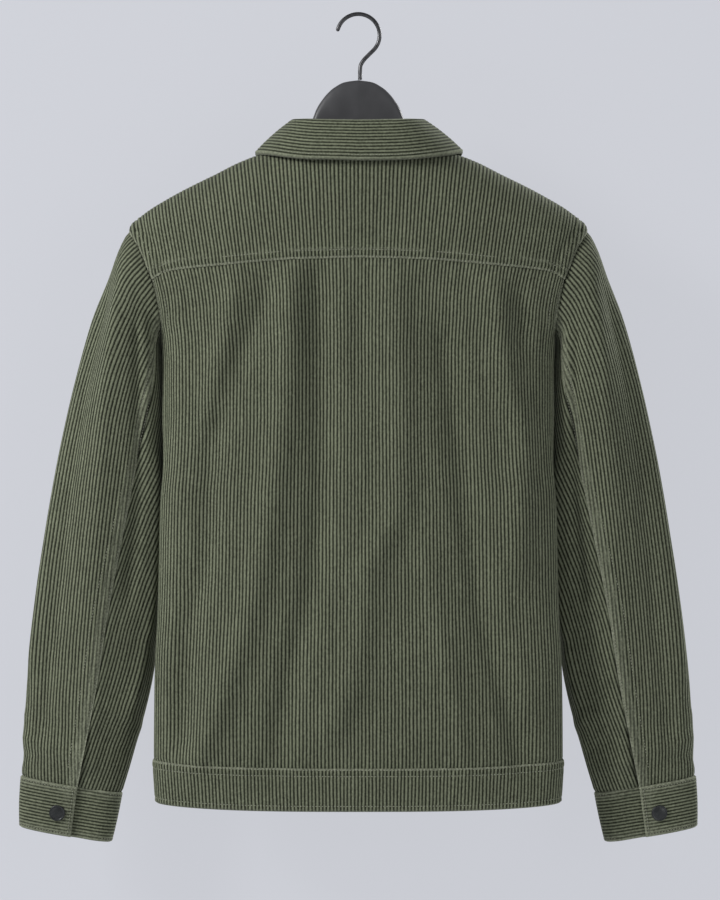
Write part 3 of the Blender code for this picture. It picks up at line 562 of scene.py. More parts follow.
# %% Corduroy
def corduroy_finish(name):
    """Corduroy: groove to rib colour by UV with painted shade in the grooves, slow nap patches, fibre and
    tuft noise, paler edges for wear and painted highlight.
    """
    finish, tree, shader = new_finish(name, 0.93)
    uv = node(tree, "ShaderNodeUVMap", uv_map="wales").outputs[0]
    parts = node(tree, "ShaderNodeSeparateXYZ", {0: uv}).outputs
    rise = maths(tree, "MULTIPLY", maths(tree, "PINGPONG", parts[0], 0.5), 2.0)
    place = node(tree, "ShaderNodeTexCoord").outputs["Object"]
    along = node(tree, "ShaderNodeMapping", {0: uv, 3: (1.0, 60.0, 1.0)}).outputs[0]
    streak = node(tree, "ShaderNodeTexNoise", {"Vector": along, "Scale": 1.1, "Detail": 3.0}).outputs[0]
    patch = node(tree, "ShaderNodeTexNoise", {"Vector": place, "Scale": 16.0, "Detail": 3.0}).outputs[0]
    fibre = node(tree, "ShaderNodeTexNoise", {"Vector": place, "Scale": 1500.0, "Detail": 2.0}).outputs[0]
    tuft = node(tree, "ShaderNodeTexNoise", {"Vector": place, "Scale": 430.0, "Detail": 3.0}).outputs[0]
    rough = maths(tree, "MULTIPLY_ADD", maths(tree, "ADD", fibre, tuft), 0.55, -0.55)
    rise = maths(tree, "ADD", rise, rough)
    # painted shade: the groove end of this ramp is far darker than the ground weave, standing in for the
    # shade down in each groove
    pile_and_groove_shade = colours(tree, rise, (
        (0.0, shade(26, 29, 20)), (0.25, shade(48, 51, 39)), (0.55, shade(102, 107, 87)),
        (1.0, shade(130, 135, 113))))
    nap = maths(tree, "MULTIPLY_ADD", maths(tree, "ADD", streak, patch), 0.35, 0.65)
    nap = maths(tree, "MULTIPLY", nap, maths(tree, "MULTIPLY_ADD", tuft, 0.5, 0.75))
    uneven_pile_and_groove_shade = blended(tree, 1.0, pile_and_groove_shade, node(tree, "ShaderNodeCombineColor",
                                               {0: nap, 1: nap, 2: nap}).outputs[0], "MULTIPLY")
    worn_and_highlit = node(tree, "ShaderNodeAttribute", attribute_name="worn_and_highlit").outputs["Fac"]
    # wear and painted highlight: edges are mixed towards this paler colour
    rubbed_and_highlit = colours(tree, tuft, ((0.3, shade(104, 108, 90)), (0.7, shade(160, 164, 143))))
    tree.links.new(blended(tree, worn_and_highlit, uneven_pile_and_groove_shade, rubbed_and_highlit), shader.inputs["Base Color"])
    height = node(tree, "ShaderNodeBump", {"Strength": 0.6, "Distance": 0.0005, "Height": tuft})
    tree.links.new(height.outputs[0], shader.inputs["Normal"])
    shader.inputs["Sheen Weight"].default_value = 0.22
    shader.inputs["Sheen Roughness"].default_value = 0.5
    shader.inputs["Sheen Tint"].default_value = (0.72, 0.76, 0.66, 1.0)
    shader.inputs["Specular IOR Level"].default_value = 0.15
    return finish


def thread_finish():
    """Olive sewing thread: a soft sheen and a fine twist."""
    finish, tree, shader = new_finish("olive_thread", 0.7)
    place = node(tree, "ShaderNodeTexCoord").outputs["Object"]
    twist = node(tree, "ShaderNodeTexNoise", {"Vector": place, "Scale": 2500.0}).outputs[0]
    tree.links.new(colours(tree, twist, ((0.3, shade(112, 115, 96)), (0.7, shade(164, 167, 146)))),
                   shader.inputs["Base Color"])
    shader.inputs["Sheen Weight"].default_value = 0.2
    return finish


CORDUROY = corduroy_finish("olive_corduroy")
THREAD = thread_finish()
print("finishes:", CORDUROY.name, THREAD.name)

# %% [markdown]
# ## The wales' places across the body
# Wales keep one pitch along the cloth, also where the body turns away at its side. So the columns
# stand at equal lengths round a ring, measured once at mid height, and are kept as shares of its half width.

# %% Columns of the back and of a front
RING_AT = 500.0


def arc_columns(wales, back, start=0.0):
    """Shares of the half width at each column from the centre, and the pitch they keep."""
    half = ring("half", RING_AT)
    x = half * np.sin(np.linspace(0.0, 0.5 * np.pi, 2000))
    x = start + (half - start) * x / half
    points = body_point(x, np.full(x.shape, RING_AT), back)
    far = np.concatenate([[0.0], np.cumsum(np.linalg.norm(np.diff(points, axis=0), axis=-1))])
    u = rib_columns(wales)
    return np.interp(u / wales * far[-1], far, x) / half, far[-1] / wales


BACK_WALES, FRONT_WALES = 62, 63
back_shares, back_pitch = arc_columns(BACK_WALES, True)
front_shares, front_pitch = arc_columns(FRONT_WALES, False, -OVERLAP)
print("wale pitch: back %.2f mm, front %.2f mm" % (back_pitch, front_pitch))

# %% [markdown]
# ## Back panel
# One straight cut of cloth from the yoke seam to the hem. It starts a little under the yoke and ends
# a little under the waistband, as lapped seams do, and its armhole edges are turned and stitched twice.

# %% Back panel
TUCKED = 3.0               # how far a panel runs on under the piece lapped over it


def both_sides(half_row):
    """A row of shares or wale numbers mirrored through the centre."""
    return np.concatenate([-half_row[:0:-1], half_row])


def seam_drop(x):
    """Drop of the yoke seam."""
    return through(YOKE_SEAM["x"], YOKE_SEAM["drop"], np.abs(x))


def side_edge(drop, column):
    """Half width of a panel: the armhole's edge above the underarm, the side line below it."""
    edge = through(ARMHOLE["drop"], ARMHOLE[column], drop)
    return np.where(drop < ARMHOLE_LOW, edge, ring("half", drop))


def body_cloth(x, drop, back, lift=0.0):
    """The draped body surface: its ring, its folds and a seam's lift, with the outward direction."""
    base = body_point(x, drop, back)
    outward = body_outward(base)
    raised = body_folds(x, drop, back) + lift
    return base + raised[..., None] * outward, outward


def armhole_lift(gap, drop):
    """Lift of the stitched edge along the armhole, gone below the underarm."""
    return lapped(gap) * ramp((ARMHOLE_LOW + 4.0 - drop) / 12.0)


def rolled_side(gap, drop):
    """The side seam: both panels roll in where they meet."""
    closed = 1.0 - ramp((drop - 420.0) / 60.0)
    return (2.8 * closed - 1.0) * (1.0 - ramp(gap / 2.4)) * ramp((drop - ARMHOLE_LOW) / 8.0)


def back_panel():
    """Back panel: rows run from the yoke seam to the waistband, columns along its wales."""
    u = both_sides(rib_columns(BACK_WALES))
    shares = both_sides(back_shares)[None, :]
    rough = marks(530.0, (0.0, 3.0, 4.5, 7.0, 12.0), (0.0, 2.0, 4.0, 6.5, 9.5, 13.0, 18.0), 8.5) / 530.0
    top = seam_drop(shares[0] * HEM_HALF) - TUCKED
    low = HEM_TOP + TUCKED - hem_rise(shares[0] * HEM_HALF)
    drop = top[None, :] + (low - top)[None, :] * rough[:, None]
    edge = side_edge(drop[:, -1], "back_x") - 0.15
    x = shares * edge[:, None]
    gap = edge[:, None] - np.abs(x)
    over = seam_drop(x)
    tucked = -1.25 * (1.0 - ramp((drop - over) / 5.0))
    pucker = 0.5 * bump(HEM_TOP - drop - 5.0, 3.5) * np.sin(0.9 * u + 0.6 * np.sin(0.31 * u))[None, :]
    hem = -1.3 * (1.0 - ramp((HEM_TOP + 1.0 - drop - hem_rise(x)) / 4.0))
    base, outward = body_cloth(x, drop, True)
    lift = tucked + hem + pucker + armhole_lift(gap, drop) + rolled_side(gap, drop)
    # paler armhole edge: wear plus painted highlight where the turned edge catches the light
    worn_and_highlit = 0.45 * bump(gap - 0.6, 1.4) * ramp((ARMHOLE_LOW + 6.0 - drop) / 10.0)
    return cloth("back_panel_cloth", base, outward, u[None, :], drop, lift, CORDUROY, worn_and_highlit)


back_cloth_piece = back_panel()
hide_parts("back_panel")
print("back panel:", len(back_cloth_piece.data.polygons), "faces")

# %% [markdown]
# ## Yoke
# The yoke covers the shoulder blades, runs over the shoulder ridge and ends at the shoulder seam.
# Its wales fan outwards on their way up, because the flat cut is pulled over sloping shoulders.
# The lean grows from the centre: x moves outwards by lean x rise, with lean = 0.24 tanh(|x|/190).

# %% Yoke
YOKE_LEAN, LEAN_REACH = 0.24, 190.0
YOKE_WALES = 64


def yoke_line(x_start, low_drop, low_turn, top_turn, rows):
    """Points of wale lines: x leans out with the rise, turn runs from the seam to the top."""
    turn = low_turn + (top_turn - low_turn) * rows[:, None]
    lean = YOKE_LEAN * np.tanh(np.abs(x_start) / LEAN_REACH)
    x = np.broadcast_to(x_start, turn.shape)
    for _ in range(6):
        rise = low_drop - ridge_drop(x) - np.maximum(turn, 0.0) ** 2
        x = x_start + lean * np.maximum(rise, 0.0) * np.sign(x_start)
    over = np.maximum(-turn, 0.0) ** 2
    x = x - 0.16 * over * np.sign(x_start) * ramp(np.abs(x) / 120.0)
    return x, turn, ridge_drop(x) + turn ** 2


def yoke():
    """Yoke: its outermost wales start on the armhole's edge instead of on the yoke seam."""
    hole = np.linspace(89.0, 0.0, 60)
    edge = armhole_point(hole)
    lean = YOKE_LEAN * np.tanh(edge[:, 0] / LEAN_REACH)
    corner_drop = YOKE_SEAM["drop"][-1]
    foot = edge[:, 0] - lean * (corner_drop + edge[:, 2])
    half = np.linspace(0.0, foot[-1] - 1.0, 1500)
    seam = seam_drop(half)
    points = body_point(np.minimum(half, YOKE_SEAM["x"][-1]), seam, True)
    length = np.concatenate([[0.0], np.cumsum(np.linalg.norm(np.diff(points, axis=0), axis=-1))])
    length = length + np.maximum(half - YOKE_SEAM["x"][-1], 0.0)
    u = rib_columns(YOKE_WALES)
    start = np.interp(u / YOKE_WALES * length[-1], length, half)
    below = start <= YOKE_SEAM["x"][-1]
    low_drop = np.where(below, seam_drop(start), corner_drop)
    edge_x = np.where(below, start, np.interp(start, foot, edge[:, 0]))
    edge_drop = np.where(below, low_drop, np.interp(start, foot, -edge[:, 2]))
    low_turn = np.sqrt(np.maximum(edge_drop - ridge_drop(edge_x), 0.02))
    x_ridge, _, _ = yoke_line(start, low_drop, low_turn, 0.0, np.array([0.0, 1.0]))
    top_turn = through(NECK["x"], NECK["back_turn"], x_ridge[-1])
    front_edge = armhole_point(-np.linspace(30.0, 1.0, 30))
    front_turn = armhole_turn(-np.linspace(30.0, 1.0, 30))
    top_turn = np.maximum(top_turn, np.interp(x_ridge[-1], front_edge[:, 0], front_turn, left=-3.9))
    rows = marks(150.0, SEAM_MARKS, (0.0, 2.0, 5.0), 6.5) / 150.0
    x, turn, drop = yoke_line(start, low_drop, low_turn, top_turn, rows)
    above = np.where(below[None, :], low_drop[None, :] - drop, 60.0)
    above = np.where(turn > 0.0, above, 60.0)
    tip = np.interp(np.clip(drop, 228.0, 282.0), ARMHOLE["drop"], ARMHOLE["back_x"])
    gap = np.where(drop > 214.0, (tip - x) * 0.9, SHOULDER_HALF - x + np.maximum(ARMHOLE_TOP - drop, 0.0))
    gap = np.maximum(gap, 0.0)
    mirrored = [np.concatenate([f * a[:, :0:-1], a], axis=1) for f, a in
                ((-1.0, x), (1.0, turn), (1.0, drop), (1.0, above), (1.0, gap))]
    x, turn, drop, above, gap = mirrored
    u = both_sides(u)
    base, outward = body_cloth(x, drop, turn >= 0.0)
    beads = 0.30 * bump(above - 4.8, 2.6) * np.cos(2.0 * np.pi * u + np.pi)[None, :]
    crease = -1.3 * bump(gap - 15.0, 3.2) * ramp((drop - 208.0) / 26.0)
    lift = lapped(above) + lapped(gap) * ramp((drop - 196.0) / 24.0) + beads + crease
    # paler lapped edges and stitch row: wear plus painted highlight where the turned edge catches the light
    worn_and_highlit = 0.85 * bump(above - 0.5, 1.1) + 0.6 * bump(gap - 0.6, 1.4) + 0.35 * bump(above - 9.8, 1.0)
    return cloth("yoke_cloth", base, outward, u[None, :], -drop, lift, CORDUROY, worn_and_highlit)


yoke_piece = yoke()
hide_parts("back_yoke")
print("yoke:", len(yoke_piece.data.polygons), "faces")

# %% [markdown]
# ## Fronts
# Two fronts meet over the centre line, the wearer's left one on top. Its edge is turned and stitched
# down a narrow placket for the snaps. The under one sinks by one thickness where it passes beneath.

# %% Fronts
def front_panel(name, side):
    """A front: columns run along its wales from the placket's edge to the side."""
    u = rib_columns(FRONT_WALES)
    rough = marks(600.0, (0.0, 2.5, 5.0, 8.0, 12.0), (0.0, 2.0, 4.0, 7.0, 11.0, 16.0), 10.0) / 600.0
    shares = front_shares[None, :]
    half = SHOULDER_HALF * np.maximum(shares[0], -1.0)
    hole_x = armhole_point(-30.0)[0] - 0.3
    start_x = np.where(shares[0] > 0, shares[0] * hole_x, half * 0.87)
    turn = through(NECK["x"], NECK["front_turn"], np.abs(start_x)) - 0.05
    top = ridge_drop(start_x) + turn ** 2
    low = HEM_TOP + TUCKED - hem_rise(shares[0] * HEM_HALF)
    drop = top[None, :] + (low - top)[None, :] * rough[:, None]
    edge = np.where(drop[:, -1] < ARMHOLE_LOW, side_edge(np.maximum(drop[:, -1], 228.0), "front_x"),
                    ring("half", drop[:, -1])) - 0.15
    inner = -OVERLAP
    across = (shares - shares[0, 0]) / (shares[0, -1] - shares[0, 0])
    x = inner + (edge[:, None] - inner) * across
    gap, from_edge = edge[:, None] - x, x - inner
    base, outward = body_cloth(x * side, drop, False)
    base, outward = base * mirror_of(side), outward * mirror_of(side)
    placket = lapped(from_edge, (2.0,)) - 0.55 * bump(from_edge - 30.0, 1.0)
    if side < 0:
        placket = -ramp((3.0 * OVERLAP - x) / OVERLAP) * (CLOTH + RIB + LAP + 1.2)
    hem = -1.3 * (1.0 - ramp((HEM_TOP + 1.0 - drop - hem_rise(x)) / 4.0))
    lift = placket + hem + armhole_lift(gap, drop) + rolled_side(gap, drop)
    # paler placket and armhole edges: wear plus painted highlight where the turned edge catches the light
    worn_and_highlit = 0.5 * bump(from_edge - 0.6, 1.2) * (side > 0) + 0.3 * bump(gap - 0.6, 1.4)
    mirror = mirror_of(side)
    return cloth(name, base * mirror, outward * mirror, u[None, :], drop, lift, CORDUROY, worn_and_highlit)


front_left_piece = front_panel("front_left_cloth", 1.0)
front_right_piece = front_panel("front_right_cloth", -1.0)
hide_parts("front_left")
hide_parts("front_right")
print("fronts:", 2 * len(front_left_piece.data.polygons), "faces")

# %% [markdown]
# ## Waistband
# A folded band sewn over the lower edges of the panels, once round the hem. Three rows of stitches
# hold it: two at its upper edge and one near its fold. Its left end laps over its right end.

# %% Waistband
BAND_HEIGHT = HEM_BOTTOM - HEM_TOP


def band_route():
    """x and side of the body along the band: left front, round the back, right front."""
    half = HEM_HALF
    t = np.linspace(0.0, 0.5 * np.pi, 700)
    left = -OVERLAP + (half + OVERLAP) * np.sin(t)
    back = half * np.cos(np.linspace(0.0, np.pi, 1401))
    x = np.concatenate([left, back[1:], -left[::-1][1:]])
    is_back = np.concatenate([np.zeros(700, bool), np.ones(1400, bool), np.zeros(699, bool)])
    return x / half, is_back


def waistband():
    """Waistband: columns at equal steps round the hem, rows down its height."""
    share, is_back = band_route()
    points = body_point(share * ring("half", 810.0), np.full(share.shape, 810.0), is_back)
    far = np.concatenate([[0.0], np.cumsum(np.linalg.norm(np.diff(points, axis=0), axis=-1))])
    wales = int(round(far[-1] / WALE))
    u = rib_columns(wales)
    s = u / wales * far[-1]
    side = np.interp(s, far, is_back.astype(float)) > 0.5
    share = np.interp(s, far, share)
    down = np.array([0.0, 0.7, 1.5, 2.6, 4.5, 6.4, 7.3, 8.0, 8.8, 11.0, 16.0, 22.0, 28.0, 34.0,
                     37.0, 38.2, 39.0, 39.8, 41.5, 43.2, 44.3, 45.0])
    half = ring("half", HEM_TOP + down)
    x = share[None, :] * half[:, None]
    drop = HEM_TOP + down[:, None] - hem_rise(x)
    base, outward = body_cloth(x, drop, side[None, :])
    stand = 0.9
    turned = -0.8 * (1.0 - ramp(down / 1.1)) - 2.0 * (1.0 - ramp((BAND_HEIGHT - down) / 1.8))
    pressed = -0.60 * (bump(down - 1.5, 0.9) + bump(down - 8.0, 0.9) + bump(down - 39.0, 0.9))
    beads = 0.28 * bump(down - 4.7, 2.2)[:, None] * np.cos(2.0 * np.pi * u + np.pi)[None, :]
    under = ramp((x + 3.0 * OVERLAP) / OVERLAP) * (s > 0.6 * far[-1])[None, :]
    lift = stand + (turned + pressed)[:, None] + beads - under * (BAND_CLOTH + RIB + 1.0)
    # paler top and fold of the band: wear plus painted highlight where the folded edge catches the light
    worn_and_highlit = 0.85 * bump(down - 0.4, 1.0)[:, None] + 0.5 * bump(BAND_HEIGHT - down - 0.5, 1.2)[:, None]
    worn_and_highlit = np.broadcast_to(worn_and_highlit, x.shape)
    print("waistband: %d wales round %.0f mm" % (wales, far[-1]))
    return cloth("waistband_cloth", base, outward, u[None, :], drop, lift, CORDUROY, worn_and_highlit,
                 thickness=BAND_CLOTH, row_step=5)


waistband_piece = waistband()
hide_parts("waistband")

# %% [markdown]
# ## Sleeves
# A sleeve is a tube cut in two: a wide outer piece and a narrow under piece, joined by seams down the
# back and the front. The wales of the outer piece run straight down its middle, and the tapering
# seams cut them off one by one. The under piece is cut on a slant, so its wales cross it.

# %% The sleeve's tube
def section(rows, i, angle):
    """A rounded section between its outer and inner points: a superellipse by angle."""
    turn = np.radians(angle)
    across = np.sign(np.cos(turn)) * np.abs(np.cos(turn)) ** (2.0 / SLEEVE_POWER)
    deep = np.sign(np.sin(turn)) * np.abs(np.sin(turn)) ** (2.0 / SLEEVE_POWER)
    outer = np.array([rows["outer_x"][i], -rows["outer_drop"][i]])
    inner = np.array([rows["inner_x"][i], -rows["inner_drop"][i]])
    flat = 0.5 * (outer + inner) + 0.5 * (outer - inner) * across[..., None]
    reach = np.where(deep >= 0.0, rows["back"][i], rows["front"][i])
    return np.stack([flat[..., 0], rows["middle"][i] + reach * deep, flat[..., 1]], axis=-1)


ANGLES = np.arange(-180.0, 181.0, 1.0)
SLEEVE_RINGS = np.stack([armhole_point(np.where(ANGLES > 179.9, 180.0, ANGLES))]
                        + [section(SLEEVE, i, ANGLES) for i in range(len(SLEEVE["middle"]))])
mid_line = SLEEVE_RINGS[:, [180, 0]].mean(axis=1)
SLEEVE_KNOTS = np.concatenate([[0.0], np.cumsum(np.linalg.norm(np.diff(mid_line, axis=0), axis=-1))])
SLEEVE_LENGTH = float(SLEEVE_KNOTS[-1])
print("sleeve: %.0f mm long" % SLEEVE_LENGTH)


def sleeve_point(share, angle):
    """The tube at a share of its length and an angle: cubics along it, straight lines round it."""
    share, angle = np.broadcast_arrays(np.asarray(share, float), np.asarray(angle, float))
    turned = (angle + 180.0) % 360.0
    j = np.minimum(turned.astype(int), 359)
    part = (turned - j)[..., None]
    at = share * SLEEVE_LENGTH
    i = np.clip(np.searchsorted(SLEEVE_KNOTS, at) - 1, 0, len(SLEEVE_KNOTS) - 2)
    run = np.diff(SLEEVE_KNOTS)
    rise = np.diff(SLEEVE_RINGS, axis=0) / run[:, None, None]
    slope = np.concatenate([rise[:1], 0.5 * (rise[:-1] + rise[1:]), rise[-1:]])

    def pick(values, which):
        return values[which, j] * (1.0 - part) + values[which, j + 1] * part

    t = ((at - SLEEVE_KNOTS[i]) / run[i])[..., None]
    span = run[i][..., None]
    return (pick(SLEEVE_RINGS, i) * (1 + 2 * t) * (1 - t) ** 2
            + pick(SLEEVE_RINGS, i + 1) * t * t * (3 - 2 * t)
            + pick(slope, i) * span * t * (1 - t) ** 2 - pick(slope, i + 1) * span * t * t * (1 - t))


def sleeve_outward(share, angle):
    """The tube's outward direction; on the shoulder it starts as the body's own."""
    ahead = np.minimum(share + 0.004, 1.0)
    along = sleeve_point(ahead, angle) - sleeve_point(ahead - 0.008, angle)
    around = sleeve_point(share, angle + 2.0) - sleeve_point(share, angle - 2.0)
    out = np.cross(along, around)
    out /= np.linalg.norm(out, axis=-1, keepdims=True)
    wrapped = wrapped_angle(angle)
    seam = body_outward(armhole_point(wrapped))
    own = np.maximum(ramp(share / 0.06), ramp((np.abs(wrapped) - 60.0) / 40.0))[..., None]
    mixed = seam * (1.0 - own) + out * own
    return mixed / np.linalg.norm(mixed, axis=-1, keepdims=True)


# %% [markdown]
# ## Folds of a sleeve
# Arms bend, so a sleeve keeps slack at the elbow and stacks up above its cuff. Its folds are lines of
# (share of the length, angle round it). A few short ones lie across it near the cuff.

# %% Folds of the sleeves
SLEEVE_GAIN = 1.3          # how strongly the sleeve's long folds are drawn
SLEEVE_FOLDS = (
    (13.0, 4.2, ((0.06, 60), (0.25, 74), (0.50, 84), (0.75, 92), (0.98, 100))),
    (10.0, -4.6, ((0.05, 96), (0.22, 112), (0.42, 120), (0.62, 118))),
    (12.0, -3.2, ((0.10, 30), (0.40, 44), (0.70, 52), (0.92, 50))),
    (12.0, 3.0, ((0.12, 8), (0.45, 16), (0.80, 22))),
    (10.0, 3.4, ((0.30, 146), (0.55, 150), (0.85, 140))),
    (13.0, 4.0, ((0.06, -52), (0.30, -66), (0.60, -78), (0.95, -88))),
    (11.0, -4.4, ((0.08, -92), (0.30, -108), (0.60, -112))),
    (12.0, -3.0, ((0.15, -22), (0.50, -34), (0.90, -40))),
    (10.0, 3.0, ((0.35, -150), (0.60, -146), (0.90, -138))),
)
CROSS_FOLDS = (       # (share, slant per 100 degrees, half width of share, height, centre angle, reach)
    (0.935, 0.030, 0.013, 2.6, 60.0, 60.0),
    (0.895, 0.045, 0.014, -2.4, 95.0, 55.0),
    (0.850, 0.040, 0.015, 2.0, 130.0, 50.0),
    (0.955, -0.035, 0.012, -2.2, 20.0, 45.0),
    (0.905, -0.040, 0.014, 2.2, -60.0, 60.0),
    (0.700, 0.050, 0.018, -1.6, 150.0, 50.0),
    (0.055, 0.020, 0.014, 1.6, 70.0, 50.0),
)


def sleeve_folds(share, angle, side):
    """Long folds plus short slanted ones; the right sleeve's are shifted a little."""
    wrapped = wrapped_angle(angle)
    shift = 0.0 if side > 0 else 7.0
    total = np.zeros(np.broadcast(share, wrapped).shape)
    for width, height, line in SLEEVE_FOLDS:
        height = SLEEVE_GAIN * height
        at_share, at_angle = np.array(line, float).T
        centre = through(at_share, at_angle, share) + shift
        ends = ramp((share - at_share[0]) / 0.10 + 0.5) * ramp((at_share[-1] - share) / 0.10 + 0.5)
        total += height * bump(wrapped - centre, width) * ends * (1.0 if side > 0 else 0.85)
    for at, slant, wide, height, centre, reach in CROSS_FOLDS:
        line = at + slant * (wrapped - centre - shift) / 100.0
        total += height * bump(share - line, wide) * bump(wrapped - centre - shift, reach)
    calm = ramp((share - 0.01) / 0.09) * (1.0 - 0.6 * ramp((share - 0.95) / 0.05))
    return total * calm


def cap_folds(share, angle):
    """At the armhole the sleeve starts from the body's own folds."""
    wrapped = wrapped_angle(angle)
    point = armhole_point(wrapped)
    return body_folds(point[..., 0], -point[..., 2], wrapped >= 0.0) * (1.0 - ramp(share / 0.08))


# %% Lengths round the sleeve, so that its wales keep their pitch
CAP_SHARE = 0.7            # share of a step's front-to-back part that counts at the armhole
CAP_END = 0.3              # level from which all of it counts
LEVELS = np.linspace(0.0, 1.0, 61)
ring_points = sleeve_point(LEVELS[:, None], ANGLES[None, :])
AXIS = ring_points[-1, 180] - ring_points[0, 180]
AXIS = AXIS / np.linalg.norm(AXIS)
outer_line = np.gradient(ring_points[:, 180], axis=0)
outer_line /= np.linalg.norm(outer_line, axis=-1, keepdims=True)
ring_steps = np.diff(ring_points, axis=1)
ring_steps[..., 1] *= (CAP_SHARE + (1.0 - CAP_SHARE) * ramp(LEVELS / CAP_END))[:, None]
ring_steps -= (ring_steps @ outer_line[:, :, None]) * outer_line[:, None, :]
ring_steps = np.linalg.norm(ring_steps, axis=-1)
ROUND = np.concatenate([np.zeros((len(LEVELS), 1)), np.cumsum(ring_steps, axis=1)], axis=1)
ROUND = ROUND - ROUND[:, 180:181]
SEAM_ANGLE = {key: through(SLEEVE_SEAMS["share"], SLEEVE_SEAMS[key], LEVELS)
              for key in ("back_angle", "front_angle")}
SEAM_ROUND = {key: np.array([np.interp(a, ANGLES, row) for a, row in zip(SEAM_ANGLE[key], ROUND)])
              for key in SEAM_ANGLE}


def angle_at(share, offset):
    """Angle at a length round the tube: read off each level's ring, then between levels."""
    table_angles = np.stack([np.interp(offset, row, ANGLES) for row in ROUND])
    place = np.clip(share * (len(LEVELS) - 1), 0, len(LEVELS) - 1.001)
    i = place.astype(int)
    column = np.broadcast_to(np.arange(len(offset)), share.shape)
    return table_angles[i, column] * (1 - place + i) + table_angles[i + 1, column] * (place - i)


VENT_SHARE = 0.86          # where the back seam opens into the vent above the cuff


def vent_lift(share, gap):
    """The vent's free edge stands up a little, most just above the cuff."""
    return 1.9 * ramp((share - VENT_SHARE) / 0.07) * (1.0 - ramp(gap / 12.0))


def sleeve_outer(name, side):
    """Outer sleeve: a column for each step across a wale, cut off where it meets a seam."""
    back, front = SEAM_ROUND["back_angle"], -SEAM_ROUND["front_angle"]
    wales = int(min(back.max(), front.max()) / WALE)
    u = both_sides(rib_columns(wales))
    offset = u * WALE
    start, stop = np.zeros(offset.shape), np.zeros(offset.shape)
    for here, width in ((offset >= 0.0, back), (offset < 0.0, front)):
        widest = int(np.argmax(width))
        growing = np.maximum.accumulate(width[:widest + 1])
        start[here] = np.interp(np.abs(offset[here]), growing, LEVELS[:widest + 1])
        stop[here] = np.interp(np.abs(offset[here]), width[widest:][::-1], LEVELS[widest:][::-1])
    stop = np.maximum(stop, start + 0.003)
    rows = marks(590.0, (0.0, 2.0, 4.5, 8.0, 13.0), (0.0, 3.0, 6.0, 10.0), 9.0) / 590.0
    start = np.maximum(start, 0.0015)
    share = start + (stop - start)[None, :] * rows[:, None]
    angle = angle_at(share, offset)
    at = share * (len(LEVELS) - 1)
    limit = np.where(offset[None, :] >= 0.0, np.interp(at, np.arange(len(LEVELS)), back),
                     np.interp(at, np.arange(len(LEVELS)), front))
    gap = np.maximum(limit - np.abs(offset)[None, :], 0.0)
    down = share * SLEEVE_LENGTH
    tucked = -1.4 * (1.0 - ramp(down / 6.0))
    hem = -1.3 * ramp((share - 0.993) / 0.007)
    seamed = lapped(gap) + vent_lift(share, gap) * (offset[None, :] >= 0.0)
    lift = tucked + hem + seamed + sleeve_folds(share, angle, side) + cap_folds(share, angle)
    mirror = mirror_of(side)
    base = sleeve_point(share, angle) * mirror
    outward = sleeve_outward(share, angle) * mirror
    banded = 1.0 - ramp((gap - 8.0) / 1.5)
    # paler seam edge and pressed band: wear plus painted highlight where the lapped edge catches the light
    worn_and_highlit = 0.85 * bump(gap - 0.7, 1.3) + 0.4 * bump(gap - 9.6, 1.0) + 0.25 * banded
    return cloth(name, base, outward, u[None, :], -down, lift, CORDUROY, worn_and_highlit,
                 ribs=1.0 - 0.6 * banded)


UNDER_SLANT = 0.15         # how fast the under sleeve's wales cross it
WALE_STEPS_UNDER = (262, 151)


def sleeve_under(name, side):
    """Under sleeve: an even grid between the seams, with its wales laid over it on a slant."""
    rows = np.linspace(0.0, 1.0, WALE_STEPS_UNDER[0])
    columns = np.linspace(0.0, 1.0, WALE_STEPS_UNDER[1])
    share = np.broadcast_to((0.0015 + 0.9985 * rows)[:, None], (len(rows), len(columns)))
    begin = np.interp(share[:, 0], LEVELS, SEAM_ANGLE["back_angle"]) + 0.3
    end = np.interp(share[:, 0], LEVELS, SEAM_ANGLE["front_angle"]) + 360.0 - 0.3
    angle = begin[:, None] + (end - begin)[:, None] * columns[None, :]
    mirror = mirror_of(side)
    point = sleeve_point(share, angle)
    sideways = np.cross(AXIS, [0.0, 1.0, 0.0])
    step = np.diff(point, axis=1)
    step = np.linalg.norm(step - (step @ AXIS)[..., None] * AXIS, axis=-1)
    offset = np.concatenate([np.zeros((len(rows), 1)), np.cumsum(step, axis=1)], axis=1)
    offset = offset - offset[:, :1] + (point[:, :1] @ sideways)
    down = share * SLEEVE_LENGTH
    u = (offset + UNDER_SLANT * (point @ AXIS)) / (WALE * np.sqrt(1.0 + UNDER_SLANT ** 2)) + 60.0
    edge = np.minimum(offset - offset[:, :1], offset[:, -1:] - offset)
    open_vent = 1.8 * ramp((share - VENT_SHARE) / 0.07) * (1.0 - ramp((offset - offset[:, :1]) / 14.0))
    tucked = -1.3 * (1.0 - ramp(edge / 3.0)) - 1.2 * (1.0 - ramp(down / 6.0)) - open_vent
    hem = -1.3 * ramp((share - 0.993) / 0.007)
    towards_body = 3.0 * bump(angle - 180.0, 22.0) * ramp((share - 0.02) / 0.05)
    towards_body = towards_body * (1.0 - ramp((share - 0.35) / 0.25))
    lift = tucked + hem + sleeve_folds(share, angle, side) + cap_folds(share, angle) + towards_body
    return cloth(name, point * mirror, sleeve_outward(share, angle) * mirror, u, down, lift,
                 CORDUROY, column_step=6, row_step=4)


for word, side in (("left", 1.0), ("right", -1.0)):
    outer_piece = sleeve_outer("sleeve_outer_%s_cloth" % word, side)
    under_piece = sleeve_under("sleeve_under_%s_cloth" % word, side)
    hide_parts("sleeve_outer_" + word)
    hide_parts("sleeve_under_" + word)
    print(word, "sleeve:", len(outer_piece.data.polygons), "+", len(under_piece.data.polygons), "faces")

# %% [markdown]
# ## Cuffs
# A cuff is a folded band with its wales running round the wrist. One end laps over the other at the
# back and closes with a snap. It stands proud of the sleeve that is gathered into it.

